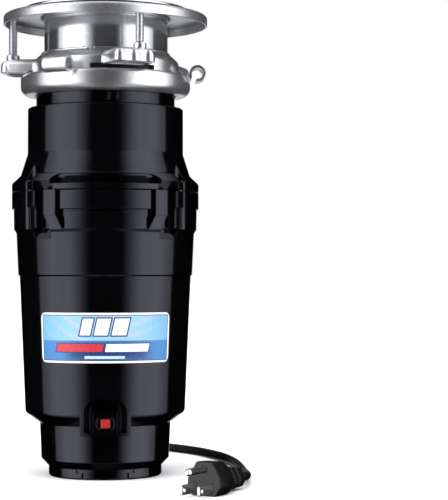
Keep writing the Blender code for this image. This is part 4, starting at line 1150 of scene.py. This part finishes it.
def plug_body():
    """A moulded grip with slanted sides and a stout collar behind them, ringed by two grooves."""
    end = -PLUG_LENGTH
    stations = [
        (0.0, 0.955, 0.5, 21.0, 0.9), (-0.5, 0.99, 0.1, 21.4, 0.9), (-1.3, 1.0, 0.0, 21.5, 0.9),
        (-7.0, 0.99, 0.0, 21.3, 0.9), (-13.0, 0.965, 0.0, 21.0, 0.9), (-16.0, 0.91, 0.1, 20.3, 0.9),
        (-20.5, 0.78, 0.6, 18.6, 0.9), (-25.0, 0.62, 1.2, 16.5, 0.9), (-27.0, 0.565, 1.5, 15.7, 0.8),
        (-27.6, 0.50, 2.1, 15.0, 0.8), (-28.6, 0.50, 2.1, 15.0, 0.8), (-29.2, 0.56, 1.6, 15.4, 0.9),
        (-34.0, 0.53, 1.8, 15.0, 0.9), (-34.5, 0.48, 2.3, 14.4, 0.9), (-35.4, 0.48, 2.3, 14.4, 0.9),
        (-35.9, 0.52, 1.9, 14.8, 0.9), (end + 0.8, 0.49, 2.1, 14.3, 0.9), (end, 0.43, 2.8, 13.6, 0.9)]
    place = plug_frame()
    rings = [[place @ point for point in plug_section(*station)] for station in stations]
    slots = bmesh.new()
    for across in BLADES:
        box((-8.4, across - 1.05, BLADE_Z - 3.47), (3.0, across + 1.05, BLADE_Z + 3.47), place, slots)
    lay = Matrix.Translation((0, 0, GROUND_Z)) @ Matrix.Rotation(pi / 2, 4, "Y")
    pin_hole = prism(circle(2.7, 32), -8.4, 3.0, place @ lay)
    grip = carved(loft(rings), (CUT, slots), (CUT, pin_hole))
    return piece("plug_body", grip, "black_cord", sharp=30.0)


def plug_pins():
    place, made = plug_frame(), []
    for node, across in zip(("plug_blade_live", "plug_blade_neutral"), BLADES):
        rings = []
        for side, inset in ((-0.75, 0.45), (-0.45, 0.0), (0.45, 0.0), (0.75, 0.45)):
            outline = rounded([(-8.0, BLADE_Z - 3.17), (17.5 - inset, BLADE_Z - 3.17 + inset, 1.4),
                               (17.5 - inset, BLADE_Z + 3.17 - inset, 1.4), (-8.0, BLADE_Z + 3.17)])
            rings.append([place @ Vector((p.x, across + side, p.y)) for p in outline])
        across_it = Matrix.Translation((14.0, across, BLADE_Z)) @ Matrix.Rotation(pi / 2, 4, "X")
        drill = prism(circle(1.6, 32), -2.0, 2.0, place @ across_it)
        made.append(piece(node, carved(loft(rings), (CUT, drill)), "brass"))
    profile = rounded([(0.0, -8.0), (2.4, -8.0), (2.4, 18.4, 1.0), (1.5, 20.6, 0.6), (0.0, 20.6)])
    lay = Matrix.Translation((0, 0, GROUND_Z)) @ Matrix.Rotation(pi / 2, 4, "Y")
    pin = moved(turned(profile, 32), place @ lay)
    made.append(piece("plug_ground_pin", pin, "brass"))
    return made


# ---------------------------------------------------------------- grinding parts and motor inside

def inner_parts():
    """The CAD nodes that stay as they are get the finish of their slot."""
    slots = {part["node"]: part["material_slot"] for part in frame["record"]["subparts"]}
    for name, node in frame["nodes"].items():
        if node.hide_render:
            continue
        node.data.materials.clear()
        node.data.materials.append(FINISH[slots[name]])
        node.data.shade_smooth()
        node.data.set_sharp_from_angle(angle=radians(40))


def build():
    camera()
    studio()
    floor()
    FINISH["label"] = label_finish()
    relief, on_cord = strain_relief(), [plug_body(), *plug_pins()]
    for obj in (cord(), relief, *on_cord):
        obj.visible_glossy = False      # keeps the plug and the cord out of the gloss of the housings
    sink_flange()
    fibre_gasket()
    support_flange()
    snap_ring()
    splash_guard()
    sink_stopper()
    mounting_ring()
    mount_screws()
    cushion_mount()
    turn_ring()
    hopper_housing()
    housing_screws()
    motor_housing()
    reset_button()
    base_cover()
    label_plate()
    discharge_elbow()
    elbow_flange()
    inner_parts()


build()
